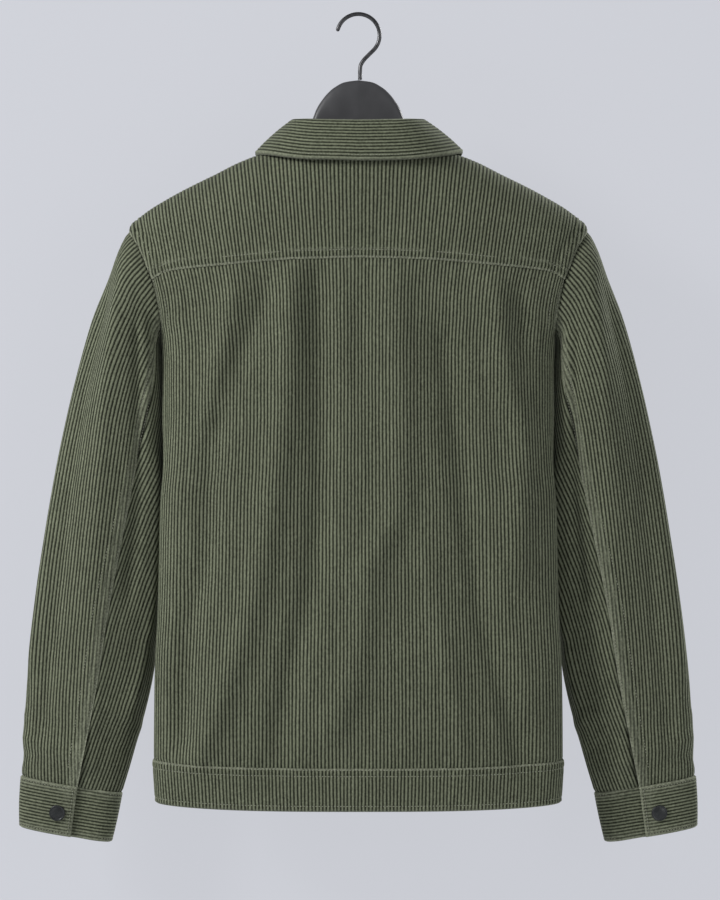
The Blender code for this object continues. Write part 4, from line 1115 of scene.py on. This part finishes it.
# %% Cuffs
CUFF_LAP = 97.0            # angle of the lap's end
CUFF_TRAVEL, CUFF_UNDER = 402.0, 320.0
CUFF_CLOTH = 2.4
CUFF_HEIGHT = 55.0
CUFF_WALE = 3.45           # the pressed cuff's wales lie a little closer
CUFF_START = 0.02          # level at which the cuff's cloth begins
CUFF_ROWS = (3.0, CUFF_HEIGHT - 3.5)    # its two rows of stitches
CUFF_STAND = 0.1           # how proud the cuff stands of the sleeve it holds


def cuff_point(level, angle):
    """The cuff's tube: level 0 at its upper edge and 1 at its lower edge."""
    upper, lower = section(CUFF, 0, angle), section(CUFF, 1, angle)
    return upper + (lower - upper) * np.asarray(level)[..., None]


def cuff_outward(level, angle):
    """Outward direction of the cuff's tube."""
    along = cuff_point(level + 0.01, angle) - cuff_point(level - 0.01, angle)
    around = cuff_point(level, angle + 1.0) - cuff_point(level, angle - 1.0)
    out = np.cross(along, around)
    return out / np.linalg.norm(out, axis=-1, keepdims=True)


def cuff_ease(level, angle):
    """Slight waves round the cuff, most at its middle height."""
    wave = 0.9 * np.sin(np.radians(2.0 * angle + 40.0)) + 0.5 * np.sin(np.radians(5.0 * angle))
    return wave * np.sin(np.pi * level)


def cuff(name, side):
    """Cuff: rows follow its level wales, columns run round it and on under its own end."""
    wales = int(round(CUFF_HEIGHT / CUFF_WALE))
    u = rib_columns(wales)
    level = (CUFF_START + (1.0 - CUFF_START) * u / wales)[:, None]
    travel = np.concatenate([[0.0, 0.6, 1.4, 2.4, 4.0, 6.0], np.linspace(9.0, CUFF_TRAVEL, 118)])
    angle = (CUFF_LAP - travel)[None, :]
    level, angle = np.broadcast_arrays(level, angle)
    depth = (level - CUFF_START) / (1.0 - CUFF_START) * CUFF_HEIGHT
    from_end = travel[None, :] * 0.95
    turned = -0.9 * (1.0 - ramp(depth / 1.2)) - 1.9 * (1.0 - ramp((CUFF_HEIGHT - depth) / 1.8))
    rolled = -1.3 * (1.0 - ramp(from_end / 1.6))
    pressed = -0.55 * (sum(bump(depth - row, 0.9) for row in CUFF_ROWS) + bump(from_end - 3.5, 0.9))
    under = ramp((travel - CUFF_UNDER) / 36.0)[None, :] * (BAND_CLOTH + RIB + 1.4)
    lift = CUFF_STAND + turned + rolled + pressed - under + cuff_ease(level, angle)
    # paler edges, end and stitched strips of the cuff: wear plus painted highlight where the folded edges
    # catch the light
    worn_and_highlit = 0.8 * bump(depth - 0.6, 1.2) + 0.7 * bump(CUFF_HEIGHT - depth - 0.6, 1.6) \
        + 0.8 * bump(from_end - 0.6, 1.2) + 0.22 * bump(depth - 5.0, 3.5) \
        + 0.22 * bump(CUFF_HEIGHT - depth - 5.0, 3.5) + 0.2 * bump(from_end - 7.0, 5.0)
    mirror = mirror_of(side)
    along = np.radians(angle) * 42.0
    return cloth(name, cuff_point(level, angle) * mirror, cuff_outward(level, angle) * mirror,
                 u[:, None], along, lift, CORDUROY, worn_and_highlit, thickness=CUFF_CLOTH, row_step=5,
                 column_step=3, ribs=0.5)


for word, side in (("left", 1.0), ("right", -1.0)):
    cuff("cuff_%s_cloth" % word, side)
    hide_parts("cuff_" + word)

# %% [markdown]
# ## Collar
# The leaf folds over the stand and falls to its edge, with its wales running along the neck. It
# bows out a little between the fold and the edge, and one row of stitches follows the edge.

# %% Collar leaf and stand
def leaf_lines(turn):
    """The leaf's fold line and free edge at a turn from the centre back."""
    side = np.where(turn >= 0.0, 1.0, -1.0)
    away = np.abs(turn)

    def line(part):
        return np.stack([side * through(LEAF["turn"], LEAF[part + "_x"], away),
                         through(LEAF["turn"], LEAF[part + "_y"], away),
                         -through(LEAF["turn"], LEAF[part + "_drop"], away)], axis=-1)
    return line("fold"), line("edge")


def grid_outward(points):
    """Unit normals of a grid from its neighbouring points, pointing away from its middle."""
    out = np.cross(np.gradient(points, axis=1), np.gradient(points, axis=0))
    out /= np.linalg.norm(out, axis=-1, keepdims=True)
    return out * np.sign(np.sum(out * (points - points.mean(axis=(0, 1))), axis=-1).mean())


LEAF_WALES = 13
LEAF_DEPTH, LEAF_BOW = 46.0, 1.6    # fold to edge, and how far it bellies out between them
LEAF_ROW = 5.0             # distance of its stitch row from the edge
LEAF_TURNS = np.concatenate([[-174.0, -173.2, -172.0, -170.0], np.linspace(-167.0, 167.0, 180),
                             [170.0, 172.0, 173.2, 174.0]])


def leaf_surface(share, turn):
    """The leaf before it bows: straight from its fold to its edge."""
    fold, edge = leaf_lines(turn)
    return fold + (edge - fold) * share[..., None]


def leaf_wave(turn):
    """Waves of the leaf's free edge round the neck."""
    return 0.8 * np.sin(np.radians(3.0 * turn + 30.0)) + 0.5 * np.sin(np.radians(7.0 * turn))


def collar_leaf():
    """Leaf: rows follow its level wales, columns run round the neck."""
    u = rib_columns(LEAF_WALES)
    share = (u / LEAF_WALES)[:, None] + 0.0 * LEAF_TURNS[None, :]
    turn = np.broadcast_to(LEAF_TURNS, share.shape)
    points = leaf_surface(share, turn)
    out = grid_outward(points)
    depth = share * LEAF_DEPTH
    from_point = (174.0 - np.abs(turn)) * 0.9
    bow = LEAF_BOW * np.sin(np.pi * share)
    rolled = -2.2 * (1.0 - ramp(depth / 3.0)) - 1.7 * (1.0 - ramp((LEAF_DEPTH - depth) / 1.6))
    pressed = -0.5 * bump(LEAF_DEPTH - depth - LEAF_ROW, 0.9) - 0.5 * bump(from_point - 5.0, 1.0)
    wave = leaf_wave(turn) * share
    # paler free edge and fold of the leaf: wear plus painted highlight where the folded edge catches the
    # light
    worn_and_highlit = 0.55 * bump(LEAF_DEPTH - depth - 0.6, 1.3) + 0.25 * bump(depth, 2.2)
    return cloth("collar_leaf_cloth", points, out, u[:, None], np.radians(turn) * 80.0,
                 bow + rolled + pressed + wave, CORDUROY, worn_and_highlit, thickness=BAND_CLOTH - 1.0,
                 row_step=5, column_step=3, ribs=0.7)


def collar_stand():
    """Stand: from inside the neckline up to just under the fold."""
    turn = np.linspace(-172.0, 172.0, 121)
    fold, _ = leaf_lines(turn)
    top = fold * np.array([0.945, 0.93, 1.0]) - np.array([0.0, 0.0, 3.5])
    back = np.abs(turn) <= 90.0
    x = 74.5 * np.sin(np.radians(turn))
    low_turn = np.where(back, through(NECK["x"], NECK["back_turn"], np.abs(x)),
                        through(NECK["x"], NECK["front_turn"], np.abs(x)))
    low = body_point(x, ridge_drop(x) + low_turn ** 2 - 2.0, back)
    wales = 9
    u = rib_columns(wales)
    share = (u / wales)[:, None, None]
    points = top + (low - top) * share
    lift = -0.6 * np.ones(points.shape[:2])
    return cloth("collar_stand_cloth", points, grid_outward(points), u[:, None],
                 np.radians(turn)[None, :] * 70.0, lift, CORDUROY, thickness=1.6, row_step=5,
                 column_step=3, ribs=0.5)


leaf_piece, stand_piece = collar_leaf(), collar_stand()
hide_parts("collar_leaf")
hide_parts("collar_stand")
print("collar:", len(leaf_piece.data.polygons) + len(stand_piece.data.polygons), "faces")

# %% [markdown]
# ## Stitching
# Stitches show where the jacket's layers are held together, so they follow the same seam lines and
# sit in the grooves that the seams press. Each row is one line on the draped surface.

# %% Stitch rows
def cloth_line(x, drop, back, lift):
    """A line of thread on the draped body, lifted onto the pile."""
    base, outward = body_cloth(np.asarray(x, float), np.asarray(drop, float), back)
    return base + np.asarray(lift)[..., None] * outward, outward


def row_lift(row, rows=SEAM_ROWS):
    """Height of the pressed groove under a stitch row."""
    return lapped(np.array(float(row)), rows) + 0.85 * RIB


def mirrored(lines):
    """The same lines on both sides."""
    flip = np.array([-1.0, 1.0, 1.0])
    return lines + [(points * flip, outward * flip) for points, outward in lines]


BAND_STITCHED = 2386       # points of the band's route with stitches: none on the right front past x = -170
across = np.linspace(-215.0, 215.0, 431)
yoke_rows = [cloth_line(across, seam_drop(across) - row, True, np.full(across.shape, row_lift(row)))
             for row in SEAM_ROWS]
hole_angles = np.linspace(172.0, 12.0, 160)
hole_rows = []
for row in SEAM_ROWS:
    for angles, back in ((hole_angles, True), (-hole_angles, False)):
        point = armhole_point(angles)
        x, drop = point[:, 0] - row * 1.06, -point[:, 2]
        base = body_point(x, drop, back)
        outward = body_outward(base)
        lift = body_folds(x, drop, back) + row_lift(row) * ramp((ARMHOLE_LOW + 4.0 - drop) / 12.0)
        hole_rows.append((base + lift[:, None] * outward, outward))
hole_rows = mirrored(hole_rows)

share, is_back = band_route()
band_rows = []
for down in (1.5, 8.0, 39.0):
    x = share * ring("half", HEM_TOP + down)
    drop = HEM_TOP + down - hem_rise(x)
    sewn = np.arange(len(x)) < BAND_STITCHED
    base, outward = body_cloth(x, drop, is_back)
    band_rows.append(((base + 0.75 * outward)[sewn], outward[sewn]))

placket_drop = np.linspace(176.0, 788.0, 300)
placket_rows = [cloth_line(np.full(300, -OVERLAP + row), placket_drop, False,
                           np.full(300, lift)) for row, lift in ((2.0, 0.75), (30.0, 0.35))]
for points, outward in placket_rows:
    points[:, 1] -= 0.1
stitches("body_stitches", yoke_rows + hole_rows + band_rows + placket_rows, THREAD)


def sleeve_thread(side):
    """Two rows on the outer sleeve beside each of its seams."""
    lines = []
    shares = np.linspace(0.012, 0.965, 320)
    for key, sign in (("back_angle", 1.0), ("front_angle", -1.0)):
        seam = np.interp(shares, LEVELS, SEAM_ANGLE[key])
        for row in SEAM_ROWS:
            turned = seam - sign * row / 0.75
            base = sleeve_point(shares, turned)
            outward = sleeve_outward(shares, turned)
            lift = sleeve_folds(shares, turned, side) + cap_folds(shares, turned) + row_lift(row)
            mirror = mirror_of(side)
            lines.append(((base + lift[:, None] * outward) * mirror, outward * mirror))
    return lines


def cuff_thread(side):
    """A row near each edge of the cuff and one near its lap's end."""
    lines = []
    travel = np.linspace(3.5, 318.0, 300)
    mirror = mirror_of(side)
    for depth in CUFF_ROWS:
        level = np.full(300, CUFF_START + (1.0 - CUFF_START) * depth / CUFF_HEIGHT)
        angle = CUFF_LAP - travel
        out = cuff_outward(level, angle)
        lift = CUFF_STAND - 0.1 + cuff_ease(level, angle)
        lines.append(((cuff_point(level, angle) + lift[:, None] * out) * mirror, out * mirror))
    level = np.linspace(0.08, 0.92, 60)
    angle = np.full(60, CUFF_LAP - 3.7)
    out = cuff_outward(level, angle)
    lines.append(((cuff_point(level, angle) + (CUFF_STAND + 0.4) * out) * mirror, out * mirror))
    return lines


def leaf_thread():
    """One row along the leaf's free edge."""
    turn = np.linspace(-170.0, 170.0, 500)
    share = np.linspace(0.0, 1.0, 24)
    grid = leaf_surface(share[:, None] + 0.0 * turn[None, :], np.broadcast_to(turn, (24, 500)))
    out = grid_outward(grid)
    at = 1.0 - LEAF_ROW / LEAF_DEPTH
    line = leaf_surface(np.full(500, at), turn)
    outward = out[21]
    wave = leaf_wave(turn) * at
    lift = LEAF_BOW * np.sin(np.pi * at) + wave
    return [(line + lift[:, None] * outward, outward)]


stitches("collar_stitches", leaf_thread(), THREAD)
for word, side in (("left", 1.0), ("right", -1.0)):
    stitches("sleeve_%s_stitches" % word, sleeve_thread(side), THREAD)
    stitches("cuff_%s_stitches" % word, cuff_thread(side), THREAD)

# %% [markdown]
# ## Snaps
# Each snap is a turned metal cap: a rolled rim, a shallow ring inside it and a low dome. A profile
# turned round its axis gives that, and many sides keep the rim round.

# %% Snap caps
SNAP_PROFILE = ((0.0, 0.25), (8.0, 0.25), (8.45, 0.6), (8.5, 1.1), (8.4, 1.6), (8.05, 2.0), (7.6, 2.15),
                (7.1, 2.05), (6.75, 1.8), (6.4, 1.72), (6.0, 1.82), (5.0, 2.15), (3.5, 2.45), (1.8, 2.62),
                (0.0, 2.68))


def turned(profile, base, out, sides=56):
    """Points and faces of a profile (radius, rise) turned about a direction."""
    out = out / np.linalg.norm(out)
    side = np.cross(out, (0.0, 0.0, 1.0))
    side /= np.linalg.norm(side)
    up = np.cross(side, out)
    angle = np.linspace(0.0, 2.0 * np.pi, sides, endpoint=False)
    circle = np.cos(angle)[:, None] * side + np.sin(angle)[:, None] * up
    radius, rise = np.array(profile[1:-1]).T
    rings = base + radius[:, None, None] * circle[None] + rise[:, None, None] * out
    points = np.concatenate([[base + profile[0][1] * out], rings.reshape(-1, 3),
                             [base + profile[-1][1] * out]])
    index = 1 + np.arange(len(radius) * sides).reshape(len(radius), sides)
    index = np.concatenate([index, index[:, :1]], axis=1)
    faces = quads(index).tolist()
    last = len(points) - 1
    faces += [[0, int(index[0, j + 1]), int(index[0, j])] for j in range(sides)]
    faces += [[last, int(index[-1, j]), int(index[-1, j + 1])] for j in range(sides)]
    return points, faces


def metal_finish():
    """Dark gunmetal, a little scratched by fine noise."""
    finish, tree, shader = new_finish("dark_snap_metal", 0.34, 0.6)
    place = node(tree, "ShaderNodeTexCoord").outputs["Object"]
    scratch = node(tree, "ShaderNodeTexNoise", {"Vector": place, "Scale": 900.0, "Detail": 4.0}).outputs[0]
    tree.links.new(colours(tree, scratch, ((0.3, shade(46, 48, 49)), (0.7, shade(66, 68, 68)))),
                   shader.inputs["Base Color"])
    rough = maths(tree, "MULTIPLY_ADD", scratch, 0.10, 0.30)
    tree.links.new(rough, shader.inputs["Roughness"])
    return finish


SNAP_METAL = metal_finish()


def snap(name, base, out):
    """One snap cap on the cloth."""
    points, faces = turned(SNAP_PROFILE, base, out)
    piece = finished(name + "_cap", points, faces, SNAP_METAL, sharp=60.0)
    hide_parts(name)
    return piece


for number, drop in enumerate(FRONT_SNAP_DROPS):
    base = body_point(0.0, drop, False)
    outward = body_outward(base)
    snap("front_snap_%d" % (number + 1), base + 0.55 * outward, outward)
base = body_point(0.0, BAND_SNAP_DROP, False)
outward = body_outward(base)
snap("waistband_snap", base + 1.5 * outward, outward)
level, angle = np.array(CUFF_SNAP_LEVEL), np.array(CUFF_SNAP_ANGLE)
for word, side in (("left", 1.0), ("right", -1.0)):
    mirror = mirror_of(side)
    out = cuff_outward(level, angle)
    snap("cuff_snap_" + word, (cuff_point(level, angle) + 0.6 * out) * mirror, out * mirror)
print("snaps:", len(FRONT_SNAP_DROPS) + 3)

# %% [markdown]
# ## Hanger
# A moulded hanger with a tall neck and sloping arms, in dark satin plastic, and a bent wire hook.
# The body is a row of rounded sections across X; the hook is a circle carried along a bent line.

# %% Hanger body
def tube_mesh(sections):
    """Points and faces of a closed skin over rings of points, with flat ends."""
    count, sides = sections.shape[:2]
    index = np.arange(count * sides).reshape(count, sides)
    wrapped = np.concatenate([index, index[:, :1]], axis=1)
    return sections.reshape(-1, 3), quads(wrapped).tolist() + [index[0, ::-1].tolist(),
                                                              index[-1].tolist()]


def facing_out(piece):
    """Turns a closed mesh the right way round if its volume came out negative."""
    work = bmesh.new()
    work.from_mesh(piece.data)
    if work.calc_volume(signed=True) < 0.0:
        bmesh.ops.reverse_faces(work, faces=work.faces)
        work.to_mesh(piece.data)
    work.free()
    return piece


def plastic_finish():
    """Dark satin plastic with a faint moulded grain."""
    finish, tree, shader = new_finish("dark_satin_plastic", 0.42)
    place = node(tree, "ShaderNodeTexCoord").outputs["Object"]
    grain = node(tree, "ShaderNodeTexNoise", {"Vector": place, "Scale": 650.0, "Detail": 3.0}).outputs[0]
    cloud = node(tree, "ShaderNodeTexNoise", {"Vector": place, "Scale": 30.0, "Detail": 2.0}).outputs[0]
    tree.links.new(colours(tree, cloud, ((0.3, shade(66, 66, 68)), (0.7, shade(80, 80, 82)))),
                   shader.inputs["Base Color"])
    height = node(tree, "ShaderNodeBump", {"Strength": 0.12, "Distance": 0.0003, "Height": grain})
    tree.links.new(height.outputs[0], shader.inputs["Normal"])
    return finish


def hanger_body(finish):
    """Sections across X: height from the table's edges, depth from its half thickness."""
    fine = np.concatenate([np.linspace(0.0, 60.0, 61), np.linspace(62.0, 214.0, 77)])
    x = np.concatenate([-fine[:0:-1], fine])
    away = np.abs(x)
    top, bottom, thick = (through(HANGER["x"], HANGER[key], away)
                          for key in ("top", "bottom", "half_thick"))
    end = ramp((214.0 - away) / 9.0) ** 0.5
    centre, half = 0.5 * (top + bottom), 0.5 * (bottom - top) * (0.35 + 0.65 * end)
    thick = thick * (0.45 + 0.55 * end)
    middle = ring("middle", ridge_drop(away)) * ramp((away - 60.0) / 40.0)
    angle = np.linspace(0.0, 2.0 * np.pi, 40, endpoint=False)
    tall = np.sign(np.cos(angle)) * np.abs(np.cos(angle)) ** 0.7
    deep = np.sign(np.sin(angle)) * np.abs(np.sin(angle)) ** 0.8
    crown = 0.8 * bump(x, 9.0)[:, None] * deep[None, :]
    y = middle[:, None] + thick[:, None] * deep[None, :] + crown
    z = -(centre[:, None] + half[:, None] * -tall[None, :])
    sections = np.stack([np.broadcast_to(x[:, None], y.shape), y, z], axis=-1)
    points, faces = tube_mesh(sections)
    return facing_out(finished("hanger_body_moulded", points, faces, finish, sharp=70.0))


PLASTIC = plastic_finish()
hanger_piece = hanger_body(PLASTIC)
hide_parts("hanger_body")
print("hanger:", len(hanger_piece.data.polygons), "faces")

# %% Hook
HOOK_FROM, HOOK_TO = 222.0, 11.0    # degrees round its circle, from the stem to the free end
HOOK_STEM = ((-1.8, -67.6), (-1.8, -60.0), (-2.2, -53.5), (-5.2, -47.5), (-11.0, -41.2))


def wire_finish():
    """Dark plated wire with soft scuffs."""
    finish, tree, shader = new_finish("dark_wire", 0.36, 0.85)
    place = node(tree, "ShaderNodeTexCoord").outputs["Object"]
    scuff = node(tree, "ShaderNodeTexNoise", {"Vector": place, "Scale": 220.0, "Detail": 4.0}).outputs[0]
    tree.links.new(colours(tree, scuff, ((0.3, shade(70, 70, 72)), (0.75, shade(104, 104, 106)))),
                   shader.inputs["Base Color"])
    return finish


def hanger_hook(finish):
    """A circle carried along the stem and a long arc, with a rounded free end."""
    turn = np.radians(np.linspace(HOOK_FROM, HOOK_TO, 60))
    arc = np.stack([HOOK_RADIUS * np.cos(turn), HOOK_RADIUS * np.sin(turn) - HOOK_DROP], axis=-1)
    line = np.concatenate([np.array(HOOK_STEM), arc])
    far = np.concatenate([[0.0], np.cumsum(np.linalg.norm(np.diff(line, axis=0), axis=-1))])
    at = np.linspace(0.0, far[-1], 150)
    line = np.stack([through(far, line[:, k], at) for k in range(2)], axis=-1)
    along = np.gradient(line, axis=0)
    along /= np.linalg.norm(along, axis=-1, keepdims=True)
    across = np.stack([along[:, 1], -along[:, 0]], axis=-1)
    round_end = np.sqrt(np.clip((far[-1] - at + 0.25) / WIRE_RADIUS, 0.0, 1.0)
                        * (2.0 - np.clip((far[-1] - at + 0.25) / WIRE_RADIUS, 0.0, 1.0)))
    angle = np.linspace(0.0, 2.0 * np.pi, 24, endpoint=False)
    radius = (WIRE_RADIUS * round_end)[:, None]
    flat = line[:, None, :] + (radius * np.cos(angle)[None, :])[..., None] * across[:, None, :]
    deep = radius * np.sin(angle)[None, :]
    sections = np.stack([flat[..., 0], deep, flat[..., 1]], axis=-1)
    points, faces = tube_mesh(sections)
    return facing_out(finished("hanger_hook_wire", points, faces, finish, sharp=70.0))


hook_piece = hanger_hook(wire_finish())
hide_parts("hanger_hook")
print("hook:", len(hook_piece.data.polygons), "faces")

# %% [markdown]
# Every panel is a flat cut before it is sewn.

# %% [markdown]
# ## Stage, light and camera
# A plain pale wall and floor, a broad soft light from the upper left of the camera and weaker fill
# from its right. The same pair stands before the jacket's front, so every side can be looked at.

# %% Wall and floor
WALL_Y, FLOOR_Z = -0.115, -1.02
WALL_GLOW = 0.90           # share of the wall's tone that no shadow takes away
WALL_SHADED = 0.42         # and how pale its lit part is


def plain_finish(name, colour, one_sided=False):
    """A matt pale surface; a one-sided one lets the view through from behind."""
    finish, tree, shader = new_finish(name, 0.95)
    if not one_sided:
        cloud = node(tree, "ShaderNodeTexNoise", {"Scale": 3.0}).outputs[0]
        tone = colours(tree, cloud, ((0.0, shade(*colour)), (1.0, shade(*[c + 2 for c in colour]))))
        tree.links.new(tone, shader.inputs["Base Color"])
    shader.inputs["Specular IOR Level"].default_value = 0.0
    if one_sided:
        shader.inputs["Emission Color"].default_value = shade(*colour)
        shader.inputs["Emission Strength"].default_value = WALL_GLOW
        shader.inputs["Base Color"].default_value = shade(*[WALL_SHADED * c for c in colour])
        back = node(tree, "ShaderNodeNewGeometry").outputs["Backfacing"]
        clear = node(tree, "ShaderNodeBsdfTransparent").outputs[0]
        mixed = node(tree, "ShaderNodeMixShader", {0: back, 1: shader.outputs[0], 2: clear}).outputs[0]
        tree.links.new(mixed, tree.nodes["Material Output"].inputs["Surface"])
    return finish


def plane(name, corners, finish):
    """A flat four-cornered sheet of the stage."""
    mesh = bpy.data.meshes.new(name)
    mesh.from_pydata(corners, [], [[0, 1, 2, 3]])
    piece = bpy.data.objects.new(name, mesh)
    mesh.materials.append(finish)
    bpy.context.collection.objects.link(piece)
    return piece


wall_piece = plane("wall", [(3, WALL_Y, -2.5), (-3, WALL_Y, -2.5), (-3, WALL_Y, 2.5), (3, WALL_Y, 2.5)],
                   plain_finish("pale_wall", (205, 207, 214), one_sided=True))
wall_piece.visible_diffuse = False
wall_piece.visible_glossy = False
wall_piece.visible_shadow = False
plane("floor", [(-4, -4, FLOOR_Z), (4, -4, FLOOR_Z), (4, 4, FLOOR_Z), (-4, 4, FLOOR_Z)],
      plain_finish("pale_floor", (214, 215, 219)))


def soft_light(name, place, aim, size, power):
    """A square area light pointed at a place."""
    lamp = bpy.data.lights.new(name, "AREA")
    lamp.size, lamp.energy = size, power
    lit = bpy.data.objects.new(name, lamp)
    lit.location = place
    lit.rotation_euler = (Vector(aim) - Vector(place)).to_track_quat("-Z", "Y").to_euler()
    bpy.context.collection.objects.link(lit)
    return lit


CHEST = (0.0, 0.0, -0.45)
KEY_POWER, FILL_POWER = 66.0, 15.0
soft_light("key_back", (2.3, 1.5, 0.9), CHEST, 0.9, KEY_POWER)
soft_light("fill_back", (-2.0, 2.2, 0.1), CHEST, 1.6, FILL_POWER)
soft_light("key_front", (-2.3, -1.7, 0.9), CHEST, 0.9, KEY_POWER)
soft_light("fill_front", (2.0, -2.3, 0.1), CHEST, 1.6, FILL_POWER)

world = bpy.data.worlds.new("pale_room")
bpy.context.scene.world = world
world.use_nodes = True
world.node_tree.nodes["Background"].inputs["Color"].default_value = (0.80, 0.82, 0.86, 1.0)
world.node_tree.nodes["Background"].inputs["Strength"].default_value = 0.22

# %% Camera
lens = bpy.data.cameras.new("camera")
lens.lens, lens.sensor_width = 113.2, 36.0
camera = bpy.data.objects.new("camera", lens)
camera.location = (-0.0018, 3.0, -0.460)
camera.rotation_euler = (np.pi / 2.0, 0.0, np.pi)
bpy.context.collection.objects.link(camera)
bpy.context.scene.camera = camera
bpy.context.scene.view_settings.view_transform = "Standard"
